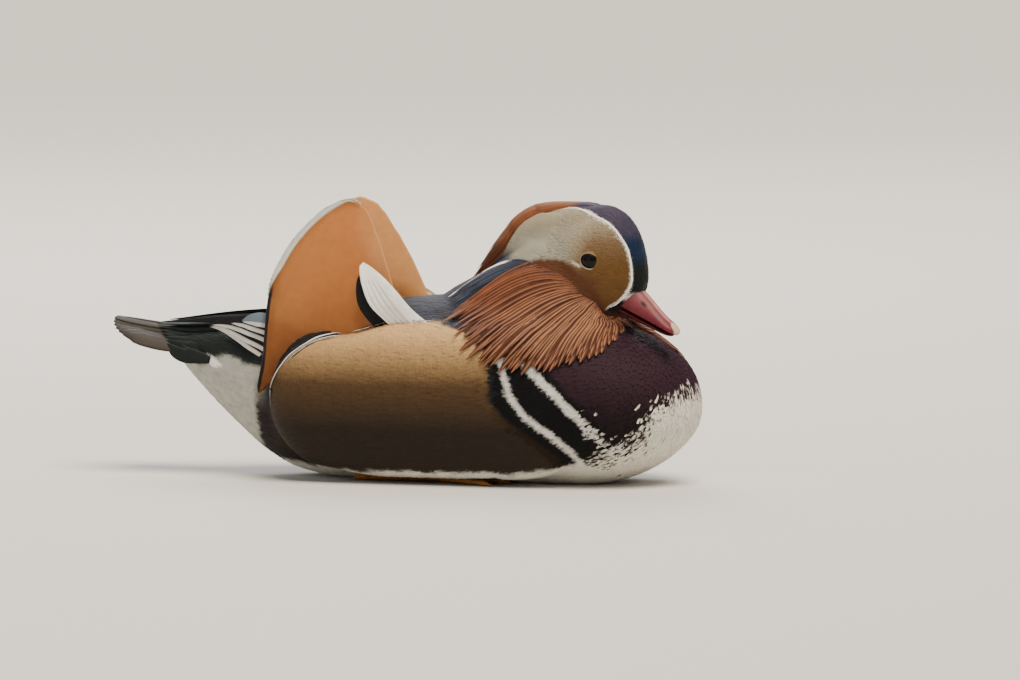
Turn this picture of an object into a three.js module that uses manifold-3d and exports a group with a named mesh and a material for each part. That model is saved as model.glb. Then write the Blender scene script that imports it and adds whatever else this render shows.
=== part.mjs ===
// A mandarin drake in breeding plumage, life size, resting on its belly as it floats:
// head drawn back and turned a little to its right, orange sails raised, feet tucked under.
// Millimetres. +X runs towards the breast, +Y to the bird's left and +Z up, with the belly on z = 0.
// The head, bill and crest are drawn in the head's own frame, which is then turned on the neck.

import * as THREE from "three";
import { mergeVertices } from "three/addons/utils/BufferGeometryUtils.js";
import Module from "manifold-3d";

const wasm = await Module();
wasm.setup();

// Driving dimensions
const GAP = 0.3; // between touching pieces
const BREAST_X = 161; // the foremost point of the breast
const RUMP_X = -134; // where the rump ends under the tail
const TAIL_TIP_X = -167;
const BODY_HALF_WIDTH = 53;
const BACK_Z = 100;
const EYE_Z = 121;
const HEAD_X = 110.1; // the point midway between the eyes
const HEAD_Y = -5;
const HEAD_YAW_DEG = -15; // the head looks a little to the bird's right
const EYE_RADIUS = 6;
const EYE_SIDE = 13.1; // from the head's middle plane to each eyeball's centre
const LID_RADIUS = 5.1;
const BILL_PITCH_DEG = 23; // how far the bill points down
const VANE_THICKNESS = 0.8; // of a long feather at its shaft
const SIDES = { r: -1, l: 1 };

// Numbers

/** A smooth function through the given [x, value] knots, without overshoot. */
function line(knots) {
  const slopes = knots.slice(1).map((k, i) => (k[1] - knots[i][1]) / (k[0] - knots[i][0]));
  const tangents = knots.map((_, i) => {
    if (i === 0) return slopes[0];
    if (i === knots.length - 1) return slopes[i - 1];
    const [before, after] = [slopes[i - 1], slopes[i]];
    return before * after <= 0 ? 0 : (2 * before * after) / (before + after);
  });
  return (x) => {
    if (x <= knots[0][0]) return knots[0][1];
    if (x >= knots.at(-1)[0]) return knots.at(-1)[1];
    const i = knots.findIndex((k) => k[0] > x) - 1;
    const h = knots[i + 1][0] - knots[i][0];
    const t = (x - knots[i][0]) / h;
    const [a, b] = [knots[i][1], knots[i + 1][1]];
    const curved = tangents[i] * t * (1 - t) ** 2 + tangents[i + 1] * t * t * (t - 1);
    return a * (1 + 2 * t) * (1 - t) ** 2 + b * t * t * (3 - 2 * t) + h * curved;
  };
}

/** The point at share t of a row of points, by the same smooth function in each coordinate. */
function along(points) {
  const parts = points[0].map((_, k) => line(points.map((p, i) => [i / (points.length - 1), p[k]])));
  return (t) => parts.map((part) => part(t));
}

const mix = (a, b, t) => a + (b - a) * t;
const radians = (degrees) => (degrees * Math.PI) / 180;
const signedPower = (value, power) => Math.sign(value) * Math.abs(value) ** power;
const count = (n) => Array.from({ length: n }, (_, i) => i);

// Solids and meshes

/** A closed geometry as a manifold solid. */
function solidOf(geometry) {
  const bare = geometry.index ? geometry.toNonIndexed() : geometry.clone();
  bare.deleteAttribute("normal");
  bare.deleteAttribute("uv");
  const merged = mergeVertices(bare, 1e-4);
  return new wasm.Manifold(
    new wasm.Mesh({
      numProp: 3,
      vertProperties: merged.attributes.position.array,
      triVerts: new Uint32Array(merged.index.array),
    }),
  );
}

/** The geometry of a manifold solid. */
function geometryOf(solid) {
  const mesh = solid.getMesh();
  const geometry = new THREE.BufferGeometry();
  geometry.setAttribute("position", new THREE.BufferAttribute(mesh.vertProperties, 3));
  geometry.setIndex(new THREE.BufferAttribute(mesh.triVerts, 1));
  geometry.computeVertexNormals();
  return geometry;
}

/** All the solids joined into one, in pairs so that no join is a large one for long. */
function joined(solids) {
  if (solids.length === 1) return solids[0];
  const half = Math.ceil(solids.length / 2);
  return joined(solids.slice(0, half)).add(joined(solids.slice(half)));
}

/** The largest closed body of a solid, with its slivers tidied away. */
function largest(solid, tolerance) {
  const bodies = solid.simplify(tolerance).decompose();
  return bodies.reduce((best, body) => (body.volume() > best.volume() ? body : best));
}

const moved = (solid, matrix) => solidOf(geometryOf(solid).applyMatrix4(matrix));

/** A solid of the given points and faces, turned inside out if its faces point in. */
function solidFrom(points, faces) {
  const geometry = new THREE.BufferGeometry().setFromPoints(points);
  const solid = solidOf(geometry.setIndex(faces));
  return solid.volume() > 0 ? solid : solidOf(geometry.setIndex(faces.reverse()));
}

/** A closed skin over rings of equal length, with a fan over each end. */
function skinOver(rings) {
  const around = rings[0].length;
  const centre = (ring) => ring.reduce((s, p) => s.add(p), new THREE.Vector3()).divideScalar(around);
  const points = [...rings.flat(), centre(rings[0]), centre(rings.at(-1))];
  const [first, last] = [points.length - 2, points.length - 1];
  const end = (rings.length - 1) * around;
  const faces = [];
  for (const i of count(around)) {
    const next = (i + 1) % around;
    for (const r of count(rings.length - 1)) {
      const [a, b] = [r * around + i, r * around + next];
      faces.push(a, b, b + around, a, b + around, a + around);
    }
    faces.push(first, next, i, last, end + i, end + next);
  }
  return solidFrom(points, faces);
}

/** A thin sheet over a grid of points with outward normals, its two faces split alike. */
function sheetOver(grid, thickness) {
  const [rows, columns] = [grid.length, grid[0].length];
  const at = (face, r, c) => (face * rows + r) * columns + c;
  const points = [0.5, -0.5].flatMap((share) =>
    grid.flatMap((row) => row.map(({ point, out }) => point.clone().addScaledVector(out, share * thickness))),
  );
  const faces = [];
  const quad = (a, b, c, d) => faces.push(a, b, c, a, c, d);
  for (const r of count(rows - 1))
    for (const c of count(columns - 1)) {
      faces.push(at(0, r, c), at(0, r + 1, c), at(0, r + 1, c + 1));
      faces.push(at(0, r, c), at(0, r + 1, c + 1), at(0, r, c + 1));
      faces.push(at(1, r, c), at(1, r + 1, c + 1), at(1, r + 1, c));
      faces.push(at(1, r, c), at(1, r, c + 1), at(1, r + 1, c + 1));
    }
  for (const r of count(rows - 1)) {
    quad(at(0, r, 0), at(1, r, 0), at(1, r + 1, 0), at(0, r + 1, 0));
    quad(at(0, r + 1, columns - 1), at(1, r + 1, columns - 1), at(1, r, columns - 1), at(0, r, columns - 1));
  }
  for (const c of count(columns - 1)) {
    quad(at(0, 0, c + 1), at(1, 0, c + 1), at(1, 0, c), at(0, 0, c));
    quad(at(0, rows - 1, c), at(1, rows - 1, c), at(1, rows - 1, c + 1), at(0, rows - 1, c + 1));
  }
  return solidFrom(points, faces);
}

/** An ellipsoid with the given half sizes. */
function ellipsoid([rx, ry, rz], [x, y, z], columns = 10, rows = 6) {
  const sphere = new THREE.SphereGeometry(1, columns, rows).rotateX(Math.PI / 2);
  return solidOf(sphere.scale(rx, ry, rz).translate(x, y, z));
}

/** A box between two corners. */
function box(low, high) {
  const size = high.map((v, i) => v - low[i]);
  const geometry = new THREE.BoxGeometry(...size);
  return solidOf(geometry.translate(...low.map((v, i) => v + size[i] / 2)));
}

/** A straight tapered rod between two points. */
function rod(from, to, fromRadius, toRadius, grow = 0, around = 5) {
  const run = to.clone().sub(from).normalize();
  const across = new THREE.Vector3().crossVectors(run, new THREE.Vector3(0, 0, 1)).normalize();
  const up = new THREE.Vector3().crossVectors(across, run);
  const ends = [
    [from.clone().addScaledVector(run, -grow), fromRadius + grow],
    [to.clone().addScaledVector(run, grow), toRadius + grow],
  ];
  const ring = ([middle, radius]) =>
    count(around).map((i) => {
      const angle = ((i + 0.5) / around) * 2 * Math.PI;
      const point = middle.clone().addScaledVector(across, radius * Math.cos(angle));
      return point.addScaledVector(up, radius * Math.sin(angle));
    });
  return skinOver(ends.map(ring));
}

// Lofts

/**
 * A rounded form along X. Its half width, top, bottom and widest height are functions of x,
 * and each end closes round a point at its own height.
 */
class Loft {
  constructor(sizes) {
    Object.assign(this, { power: 2.2, capPower: 2.2, middle: () => 0, steps: 12, around: 16 }, sizes);
  }

  /** The top, bottom, widest height and half width of the section at x. */
  section(x, grow = 0) {
    const { rear, front, rearCap, frontCap, capPower } = this;
    const towardsFront = x > (rear + front) / 2;
    const t = towardsFront ? (x - front + frontCap) / frontCap : (rear + rearCap - x) / rearCap;
    const share = t <= 0 ? 1 : Math.max(0, 1 - Math.min(1, t) ** capPower) ** (1 / capPower);
    const height = towardsFront ? this.frontZ : this.rearZ;
    const closed = (z) => height + (z - height) * share;
    const [top, bottom] = [closed(this.top(x)) + grow, closed(this.bottom(x)) - grow];
    const widest = Math.min(Math.max(closed(this.widest(x)), bottom + 0.1), top - 0.1);
    return { top, bottom, widest, half: this.halfWidth(x) * share + grow };
  }

  /** How far out the form reaches at (x, z) on one side, or a long way in where it doesn't. */
  sideAt(side, x, z) {
    if (x <= this.rear || x >= this.front) return -60;
    const { top, bottom, widest, half } = this.section(x);
    const up = z > widest ? (z - widest) / (top - widest) : (widest - z) / (widest - bottom);
    if (up >= 1) return side * this.middle(x) - 20 * (up - 1) - 0.25 * half;
    return side * this.middle(x) + half * (1 - up ** this.power) ** (1 / this.power);
  }

  /** The closed solid, grown outwards on every side. */
  solid(grow = 0) {
    const { rear, front, steps, around } = this;
    const inset = 0.0012 * (front - rear);
    const rings = count(steps + 1).map((i) => {
      const eased = mix(i / steps, (1 - Math.cos((Math.PI * i) / steps)) / 2, 0.75);
      const x = mix(rear + inset, front - inset, eased);
      const { top, bottom, widest, half } = this.section(x, grow);
      const end = i === 0 ? -1 : i === steps ? 1 : 0;
      return count(around).map((j) => {
        const angle = (j / around) * 2 * Math.PI;
        const across = half * signedPower(Math.cos(angle), 2 / this.power);
        const up = signedPower(Math.sin(angle), 2 / this.power);
        const z = widest + (up > 0 ? top - widest : widest - bottom) * up;
        return new THREE.Vector3(x + end * (inset + grow), this.middle(x) + across, z);
      });
    });
    return skinOver(rings);
  }
}

// Body

const trunk = new Loft({
  rear: RUMP_X,
  front: BREAST_X,
  rearCap: 14,
  frontCap: 58,
  rearZ: 71,
  frontZ: 41,
  capPower: 2.15,
  power: 2.25,
  steps: 20,
  around: 26,
  halfWidth: line([
    ...[[-134, 14], [-100, 26], [-75, 35], [-45, 43], [0, 50]],
    ...[[60, BODY_HALF_WIDTH], [110, 52.5], [161, 48]],
  ]),
  top: line([
    ...[[-134, 78], [-100, 81], [-70, 86], [-40, 93], [0, 98]],
    ...[[25, BACK_Z], [60, 98], [90, 92], [120, 87], [161, 84]],
  ]),
  bottom: line([
    ...[[-134, 63], [-119, 49.5], [-111, 41], [-94, 25], [-78, 12]],
    ...[[-60, 3], [-35, -1], [95, -1.5], [125, 1], [161, 8]],
  ]),
  widest: line([[-134, 71], [-90, 60], [-50, 50], [0, 46], [60, 44], [161, 41]]),
});

/** The golden side feathers of one side, a lobe that stands proud of the trunk. */
const lobeOf = (side) =>
  new Loft({
    rear: -70,
    front: 116,
    rearCap: 26,
    frontCap: 52,
    rearZ: 46,
    frontZ: 44,
    capPower: 2.4,
    steps: 15,
    around: 18,
    middle: line([[-70, side * 32], [-30, side * 37], [20, side * 39], [80, side * 38.5], [116, side * 32]]),
    halfWidth: line([[-70, 17], [-20, 17.5], [80, 17.5], [116, 17]]),
    top: line([[-70, 66], [-48, 75], [-20, 81], [5, 87.5], [35, 88], [80, 84], [116, 78]]),
    bottom: line([[-70, 18], [-40, 8], [0, 3], [116, 3]]),
    widest: line([[-70, 44], [0, 46], [116, 44]]),
  });
const lobes = (grow = 0) => joined(Object.values(SIDES).map((side) => lobeOf(side).solid(grow)));

/** The neck, drawn in level sections that lean forwards as they rise. */
const neck = {
  low: 55,
  high: 128,
  rear: line([[55, 22], [88, 14], [100, 19], [108, 32], [116, 46], [128, 62]]),
  front: line([[55, 128], [75, 127], [88, 122], [97, 118], [128, 116]]),
  half: line([[55, 46], [75, 40], [88, 34], [100, 27], [112, 22], [128, 17]]),
  sideAt(x, z) {
    const [back, fore] = [this.rear(z), this.front(z)];
    const across = 1 - ((2 * x - back - fore) / (fore - back)) ** 2;
    return across > 0 ? this.half(z) * Math.sqrt(across) : 20 * across;
  },
  solid(grow = 0) {
    const [levels, around] = [7, 18];
    const rings = count(levels + 1).map((i) => {
      const z = mix(this.low - grow, this.high + grow, i / levels);
      const [back, fore] = [this.rear(z) - grow, this.front(z) + grow];
      return count(around).map((j) => {
        const angle = (j / around) * 2 * Math.PI;
        const x = mix(back, fore, 0.5 + 0.5 * Math.cos(angle));
        return new THREE.Vector3(x, (this.half(z) + grow) * Math.sin(angle), z);
      });
    });
    return skinOver(rings);
  },
};

// The bars on the side of the breast run down this slanting plane, which parts breast from trunk
const BAR_TOP = { x: 57, z: 68 };
const BAR_FOOT = { x: 81, z: 26 };

/** Everything ahead of the slanting plane at the bars, moved forwards by the given distance. */
function aheadOfBars(forwards) {
  const slope = (BAR_FOOT.x - BAR_TOP.x) / (BAR_FOOT.z - BAR_TOP.z);
  const at = (z) => BAR_TOP.x + slope * (z - BAR_TOP.z) + forwards;
  const [low, high, wide, far] = [-20, 130, 90, 220];
  const corners = [[at(low), low], [far, low], [far, high], [at(high), high]];
  const profile = new THREE.Shape(corners.map(([x, z]) => new THREE.Vector2(x, z)));
  const slab = new THREE.ExtrudeGeometry(profile, { depth: 2 * wide, bevelEnabled: false });
  return solidOf(slab.rotateX(Math.PI / 2).translate(0, wide, 0));
}

const floorBlock = box([-300, -200, -40], [300, 200, 0]);

// Head, in its own frame: x forwards from between the eyes, y to the left, z up

const headPlace = new THREE.Matrix4()
  .makeTranslation(HEAD_X, HEAD_Y, EYE_Z)
  .multiply(new THREE.Matrix4().makeRotationZ(radians(HEAD_YAW_DEG)));

const skull = new Loft({
  rear: -54,
  front: 26,
  rearCap: 20,
  frontCap: 20,
  rearZ: -6,
  frontZ: -9,
  capPower: 2,
  power: 2.05,
  steps: 13,
  around: 20,
  halfWidth: line([[-54, 14], [-30, 18], [-14, 19.6], [0, 17.7], [12, 15.6], [26, 11.5]]),
  top: line([[-54, 16], [-36, 21], [-20, 26], [-6, 29], [6, 28], [15, 26.5], [21, 25], [26, 14]]),
  bottom: line([[-54, -24], [-30, -30], [-5, -32], [10, -31], [26, -27]]),
  widest: () => -8,
});

/** The rim of the eyelids on one side. */
function lids(side) {
  const ring = new THREE.TorusGeometry(LID_RADIUS, 0.9, 4, 12).rotateX(Math.PI / 2);
  return solidOf(ring.rotateZ(side * radians(-7)).translate(0, side * (EYE_SIDE + 4), 0));
}

const eyeball = (side, radius = EYE_RADIUS, rows = 9) =>
  moved(ellipsoid([radius, radius, radius], [0, side * EYE_SIDE, 0], rows + 4, rows), headPlace);
const headSolid = (grow = 0) => moved(skull.solid(grow), headPlace);
const headWithLids = () =>
  joined([headSolid(), ...Object.values(SIDES).map((side) => moved(lids(side), headPlace))]);

// Bill, in a frame with x along the mouth line from the gape and z up from it

const billPlace = headPlace
  .clone()
  .multiply(new THREE.Matrix4().makeTranslation(8.8, 0, -23.4))
  .multiply(new THREE.Matrix4().makeRotationY(radians(BILL_PITCH_DEG)));

const upperBill = new Loft({
  rear: 0,
  front: 39,
  rearCap: 1,
  frontCap: 7,
  rearZ: 6,
  frontZ: 0.6,
  power: 2.3,
  steps: 11,
  around: 16,
  halfWidth: line([[0, 8], [10, 7.8], [20, 6.7], [29, 6.2], [39, 6.3]]),
  top: line([[0, 14], [8, 13], [18, 9.8], [24, 7.4], [31.5, 5.2], [39, 4.2]]),
  bottom: () => 0.15,
  widest: () => 1.6,
});

const lowerBill = new Loft({
  rear: 0,
  front: 36.5,
  rearCap: 1,
  frontCap: 6,
  rearZ: -1.5,
  frontZ: -1.2,
  steps: 8,
  around: 14,
  halfWidth: line([[0, 7], [10, 6.8], [20, 5.9], [36.5, 5.2]]),
  top: () => -0.2,
  bottom: line([[0, -4.2], [15, -3.4], [36.5, -2.2]]),
  widest: () => -1,
});

/** The upper bill with its hooked nail and a nostril in each side. */
function upperBillSolid() {
  const nail = ellipsoid([3.6, 2.6, 2.7], [37.2, 0, 1.6], 8, 6);
  const nostrils = Object.values(SIDES).map((side) => ellipsoid([2.2, 1.4, 1], [16, side * 4.6, 7.6], 6, 4));
  return moved(upperBill.solid().add(nail).subtract(joined(nostrils)), billPlace);
}

const lowerBillSolid = (grow = 0) => moved(lowerBill.solid(grow), billPlace);
const bills = (grow) => moved(upperBill.solid(grow), billPlace).add(lowerBillSolid(grow));

// Feet, folded forwards under the belly

const FOOT_Y = 23;
const TOE_JOINT = [14, FOOT_Y, 2.9];
const HEEL = [-24, FOOT_Y + 3, 4];
const HIND_TOE_TIP = [3, FOOT_Y - 9, 1.8];
const TOE_TIPS = [
  [50, FOOT_Y - 10, 1.6],
  [59, FOOT_Y + 3, 1.6],
  [52, FOOT_Y + 16, 1.6],
];

const place = (side, [x, y, z]) => new THREE.Vector3(x, side * y, z);

/** The shank from heel to toes, lying forwards under the belly. */
function shank(side, grow = 0) {
  const [heel, joint] = [place(side, HEEL), place(side, TOE_JOINT)];
  const knob = ellipsoid([4.6 + grow, 3.6 + grow, 4 + grow], heel.toArray(), 8, 5);
  return rod(heel, joint.clone().lerp(heel, 0.08), 3.6, 2.6, grow, 8).add(knob).subtract(floorBlock);
}

/** Three webbed front toes with claws and a small hind toe, flat on the floor. */
function webbedFoot(side, grow = 0) {
  const joint = place(side, TOE_JOINT);
  const toes = TOE_TIPS.flatMap((point) => {
    const tip = place(side, point);
    const claw = tip.clone().add(tip.clone().sub(joint).setLength(5)).setZ(0.8);
    return [rod(joint, tip, 2.6, 1.6, grow), rod(tip, claw, 1.2, 0.4, grow)];
  });
  const outline = [TOE_JOINT, ...TOE_TIPS].map(([x, y]) => new THREE.Vector2(x, side * y));
  const web = new THREE.ExtrudeGeometry(new THREE.Shape(outline), { depth: 1.3 + grow, bevelEnabled: false });
  const hindToe = rod(joint, place(side, HIND_TOE_TIP), 1.8, 1, grow);
  const knuckle = ellipsoid([3.4 + grow, 3.6 + grow, 3 + grow], joint.toArray(), 8, 5);
  return joined([knuckle, hindToe, ...toes, solidOf(web.translate(0, 0, 0.4))]).subtract(floorBlock);
}

/** The hollow that one folded leg and foot press into the belly feathers. */
function footHollow(side) {
  const [front, rear, outer, inner] = [TOE_TIPS[1][0] + 6, HEEL[0] - 6, FOOT_Y + 19, FOOT_Y - 13];
  const corners = [[rear, FOOT_Y - 3], [rear, FOOT_Y + 9], [TOE_JOINT[0], FOOT_Y + 9], [front - 6, outer]];
  corners.push([front, FOOT_Y + 4], [front - 8, inner], [0, inner]);
  const outline = new THREE.Shape(corners.map(([x, y]) => new THREE.Vector2(x, side * y)));
  const hollow = new THREE.ExtrudeGeometry(outline, { depth: 28.5, bevelEnabled: false });
  return solidOf(hollow.translate(0, 0, -20));
}

// Feathers

// How wide a feather is along its length, as a share of its widest
const BLUNT = line([[0, 0.55], [0.25, 1], [0.8, 0.95], [1, 0.3]]);
const POINTED = line([[0, 0.6], [0.35, 1], [0.7, 0.8], [1, 0.1]]);

/**
 * A feather or lock: a thin blade of lozenge section along a row of points, with the given greatest
 * width. facing(t) is the way that its flat side looks at share t of its length.
 */
function vane(points, { width, facing, profile = BLUNT, thickness = VANE_THICKNESS, steps = 4 }) {
  const curve = new THREE.CatmullRomCurve3(points, false, "centripetal");
  const rings = count(steps + 1).map((i) => {
    const t = i / steps;
    const [p, run, look] = [curve.getPoint(t), curve.getTangent(t), facing(t)];
    const out = look.clone().addScaledVector(run, -look.dot(run)).normalize();
    const across = new THREE.Vector3().crossVectors(run, out).multiplyScalar((width / 2) * profile(t));
    out.multiplyScalar((thickness / 2) * (t < 1 ? 1 : 0.5));
    return [p.clone().add(across), p.clone().add(out), p.clone().sub(across), p.clone().sub(out)];
  });
  return skinOver(rings);
}

/**
 * The side of the body under the ruff as one smooth surface: neck, trunk, side feathers and cheek
 * flow into each other over about BLEND millimetres.
 */
const BLEND = 2.5;
const PAD_LIFT = 1.2; // of the thin pads on the body that feathers grow from
const PAD_THICKNESS = 1.6;

/** How far the cheek reaches out at (x, z) on one side. */
function cheekAt(side, x, z) {
  const turn = radians(HEAD_YAW_DEG);
  let y = 0;
  for (const _ of count(4)) {
    const [dx, dy] = [x - HEAD_X, y - HEAD_Y];
    const a = dx * Math.cos(turn) + dy * Math.sin(turn);
    const b = side * skull.sideAt(side, a, z - EYE_Z);
    y = HEAD_Y + a * Math.sin(turn) + b * Math.cos(turn);
  }
  return side * y;
}

function bodySide(side, x, z) {
  const reaches = [
    neck.sideAt(x, z),
    trunk.sideAt(side, x, z),
    lobeOf(side).sideAt(side, x, z),
    cheekAt(side, x, z),
  ];
  return BLEND * Math.log(reaches.reduce((sum, reach) => sum + Math.exp(reach / BLEND), 0));
}

/** A point lifted off a surface whose reach to one side is a function of (x, z), and its normal. */
function lifted(reachAt, side, x, z, lift) {
  const step = 1.5;
  const dx = (reachAt(x + step, z) - reachAt(x - step, z)) / (2 * step);
  const dz = (reachAt(x, z + step) - reachAt(x, z - step)) / (2 * step);
  const out = new THREE.Vector3(-dx, side, -dz).normalize();
  return { point: new THREE.Vector3(x, side * reachAt(x, z), z).addScaledVector(out, lift), out };
}

const onBody = (side, x, z, lift) => lifted((u, w) => bodySide(side, u, w), side, x, z, lift);
const onTrunk = (side, x, z, lift) => lifted((u, w) => trunk.sideAt(side, u, w), side, x, z, lift);

// Ruff: a fan of pointed hackles from the cheek over the neck and breast. Roots and tips are given
// as [x, z] from the rearmost hackle to the foremost, and bulge is how far each one arches.

const RUFF = {
  r: {
    roots: [[76, 117], [88, 113], [95, 108], [100, 102], [106, 98], [112, 94.5], [116, 91]],
    tips: [[31, 86], [43, 71], [60, 63], [76, 62], [90, 64], [104, 68], [114, 73], [120, 80]],
    bulge: [6, 8, 6, 3, 1, -1, -2],
  },
  l: {
    roots: [[83, 117], [96, 113], [104, 108], [110, 102], [116, 98], [121, 94.5], [124, 91]],
    tips: [[42, 88], [56, 75], [74, 67], [92, 63], [108, 63], [124, 65], [136, 69], [142, 74]],
    bulge: [6, 8, 7, 4, 1, -1, -2],
  },
};
const RUFF_HACKLES = 15; // on each side
const RUFF_SHORT_HACKLES = 6;
const RUFF_PAD_REACH = 0.34; // of the hackles' length

/** The [x, z] at share t of the hackle at share s of the fan. */
function ruffLine(tag, s, t) {
  const { roots, tips, bulge } = RUFF[tag];
  const [[rx, rz], [tx, tz], [arch]] = [along(roots)(s), along(tips)(s), along(bulge.map((b) => [b]))(s)];
  const length = Math.hypot(tx - rx, tz - rz);
  const lift = arch * Math.sin(Math.PI * t ** 0.75);
  return [mix(rx, tx, t) + ((tz - rz) / length) * lift * 0.4, mix(rz, tz, t) - ((tx - rx) / length) * lift];
}

/** One hackle that starts and ends at the given shares of its line, lifted from the body. */
function hackle(tag, s, [start, end], width, lift) {
  const at = (t) => {
    const [x, z] = ruffLine(tag, s, mix(start, end, t));
    return onBody(SIDES[tag], x, z, lift(t));
  };
  const stops = [0, 0.25, 0.5, 0.75, 1].map(at);
  return vane(stops.map((stop) => stop.point), { width, profile: POINTED, facing: (t) => at(t).out });
}

/** The smooth patch on cheek and neck that the hackles of one side grow from. */
function ruffPad(tag) {
  const [rows, columns] = [7, 3];
  const grid = count(rows + 1).map((r) =>
    count(columns + 1).map((c) => {
      const [x, z] = ruffLine(tag, 0.03 + (0.94 * r) / rows, 0.02 + (RUFF_PAD_REACH * c) / columns);
      return onBody(SIDES[tag], x, z, PAD_LIFT);
    }),
  );
  return sheetOver(grid, PAD_THICKNESS);
}

function ruff(tag) {
  const long = count(RUFF_HACKLES).map((i) => {
    const lift = line(i % 2 ? [[0, PAD_LIFT], [0.3, 1.6], [1, 1.1]] : [[0, PAD_LIFT], [0.3, 2.7], [1, 1.8]]);
    return hackle(tag, (i + 0.5) / RUFF_HACKLES, [0.14, i % 2 ? 1 : 0.94], 6.8, lift);
  });
  const short = count(RUFF_SHORT_HACKLES).map((i) => {
    const lift = line([[0, PAD_LIFT], [0.35, 3.8], [1, 3.9]]);
    return hackle(tag, (i + 1) / (RUFF_SHORT_HACKLES + 1), [0.08, i % 2 ? 0.66 : 0.56], 6.2, lift);
  });
  return joined([ruffPad(tag), ...long, ...short]);
}

// Crest, in the head's frame: long feathers that lie back over a low core on crown and nape

const crestCore = (grow = 0) =>
  new Loft({
    rear: -47,
    front: 6,
    rearCap: 16,
    frontCap: 14,
    rearZ: 17,
    frontZ: 28.5,
    steps: 8,
    around: 14,
    halfWidth: line([[-47, 11.5], [-15, 13], [6, 8]]),
    top: line([[-47, 22.5], [-41, 25.4], [-29, 28], [-12, 29.6], [6, 29.4]]),
    bottom: line([[-47, 2], [-30, 12], [-12, 20], [6, 25]]),
    widest: line([[-47, 10], [6, 26.5]]),
  }).solid(grow);

const CREST_TIERS = [
  { feathers: 6, root: [-12, 27.6], mid: [-50, 22], tip: [-83, -12], spread: [11, 8.5, 4.5], width: 7.6, fall: 3 },
  { feathers: 5, root: [-20, 22.5], mid: [-54, 13], tip: [-78, -15], spread: [13, 10.5, 6.5], width: 7.6, fall: 3 },
  { feathers: 4, root: [-28, 15], mid: [-56, 4], tip: [-69, -15], spread: [12, 9, 6], width: 7.6, fall: 2 },
];

function crest() {
  const feathers = CREST_TIERS.flatMap((tier) =>
    count(tier.feathers).map((i) => {
      const offset = (2 * i) / (tier.feathers - 1) - 1;
      const sunk = tier.fall * offset * offset;
      const lift = i % 2 ? 0.7 : -0.6;
      const spine = [tier.root, tier.mid, tier.tip].map(
        ([x, z], k) => new THREE.Vector3(x + k * sunk, offset * tier.spread[k], z - sunk * (1.2 + k * 0.3) + lift),
      );
      const facing = () => new THREE.Vector3(-0.5, offset * 0.9, 1).normalize();
      return vane(spine, { width: tier.width, facing, profile: POINTED });
    }),
  );
  return moved(joined([crestCore(), ...feathers]), headPlace);
}

// Nape: the blue-black and white plumes that hang from behind each cheek over the mantle, as
// [x, z] roots and tips on the side of the neck from the upper plume to the lower

const NAPE = {
  r: { roots: [[72, 122], [75, 119]], tips: [[22, 101], [24, 96.5], [29, 92.5]], bulge: 6.5 },
  l: { roots: [[79, 123], [81, 120.5]], tips: [[31, 101], [34, 97], [39, 93.5]], bulge: 2.8 },
};
const NAPE_PLUMES = 5;

function nape(tag) {
  const side = SIDES[tag];
  const at = (s, t, lift) => {
    const { roots, tips, bulge } = NAPE[tag];
    const [[rx, rz], [tx, tz]] = [along(roots)(s), along(tips)(s)];
    return onBody(side, mix(rx, tx, t), mix(rz, tz, t) + bulge * Math.sin(Math.PI * t ** 0.75), lift);
  };
  const plumes = count(NAPE_PLUMES).map((i) => {
    const lift = line([[0, PAD_LIFT], [0.3, i % 2 ? 1.6 : 2.4], [1, 1.3]]);
    const stops = [0, 0.25, 0.5, 0.75, 1].map((t) => at(i / (NAPE_PLUMES - 1), t, lift(t)));
    const facing = (t) => at(i / (NAPE_PLUMES - 1), t, lift(t)).out;
    return vane(stops.map((stop) => stop.point), { width: 5.4, facing, profile: POINTED });
  });
  const grid = count(3).map((r) => count(4).map((c) => at(r / 2, 0.02 + 0.12 * c, PAD_LIFT)));
  return joined([sheetOver(grid, PAD_THICKNESS), ...plumes]);
}

// Sail: the one broad inner wing feather that stands up over the back. Its quill runs from root to
// tip, and the wide vane rises from it to the rim.

const SAIL_QUILL = along([[2, 38.5, 86.5], [-24, 43.5, 84], [-50, 46, 72], [-66, 46.5, 58], [-74, 46, 47]]);
const SAIL_RIM = [
  [5, 37, 90],
  [-5, 30, 116],
  [-13, 23, 133],
  [-22, 17, 147],
  [-31, 15, 150.6],
  [-42, 17, 146.5],
  [-54, 21, 136],
  [-64, 27, 121.5],
  [-70, 33, 105],
  [-71, 38, 90],
  [-71, 43, 72],
  [-74, 46, 49],
];
const SAIL_BULGE = 3; // how far the middle of the vane bows outwards
const SAIL_THICKNESS = 1.2;

function sail(side, grow = 0) {
  const [rows, columns] = [11, 5];
  const rim = along(SAIL_RIM);
  const point = (s, t) => {
    const [foot, edge] = [place(side, SAIL_QUILL(s)), place(side, rim(s))];
    const bow = side * SAIL_BULGE * 4 * t * (1 - t) * Math.sin(Math.PI * s);
    return foot.lerp(edge, t).add(new THREE.Vector3(0, bow, 0));
  };
  const grid = count(rows + 1).map((r) =>
    count(columns + 1).map((c) => {
      const margin = grow / 40;
      const [s, t] = [mix(0.01 - margin / 3, 0.985 + margin / 3, r / rows), mix(-margin, 1 + margin, c / columns)];
      const alongRim = point(Math.min(1, s + 0.01), t).sub(point(Math.max(0, s - 0.01), t));
      const upwards = point(s, 1).sub(point(s, 0));
      const out = new THREE.Vector3().crossVectors(upwards, alongRim).normalize();
      return { point: point(s, t), out: out.y * side < 0 ? out.negate() : out };
    }),
  );
  const quill = vane(
    [0, 0.25, 0.5, 0.75, 0.97].map((s) => place(side, SAIL_QUILL(s))),
    { width: 3.4 + 2 * grow, facing: () => place(side, [0, 1, 0.2]), thickness: 2.2 + 2 * grow },
  );
  return sheetOver(grid, SAIL_THICKNESS + 2 * grow).add(quill);
}

// Scapulars: the white feathers edged with black that rise in front of the sail

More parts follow.
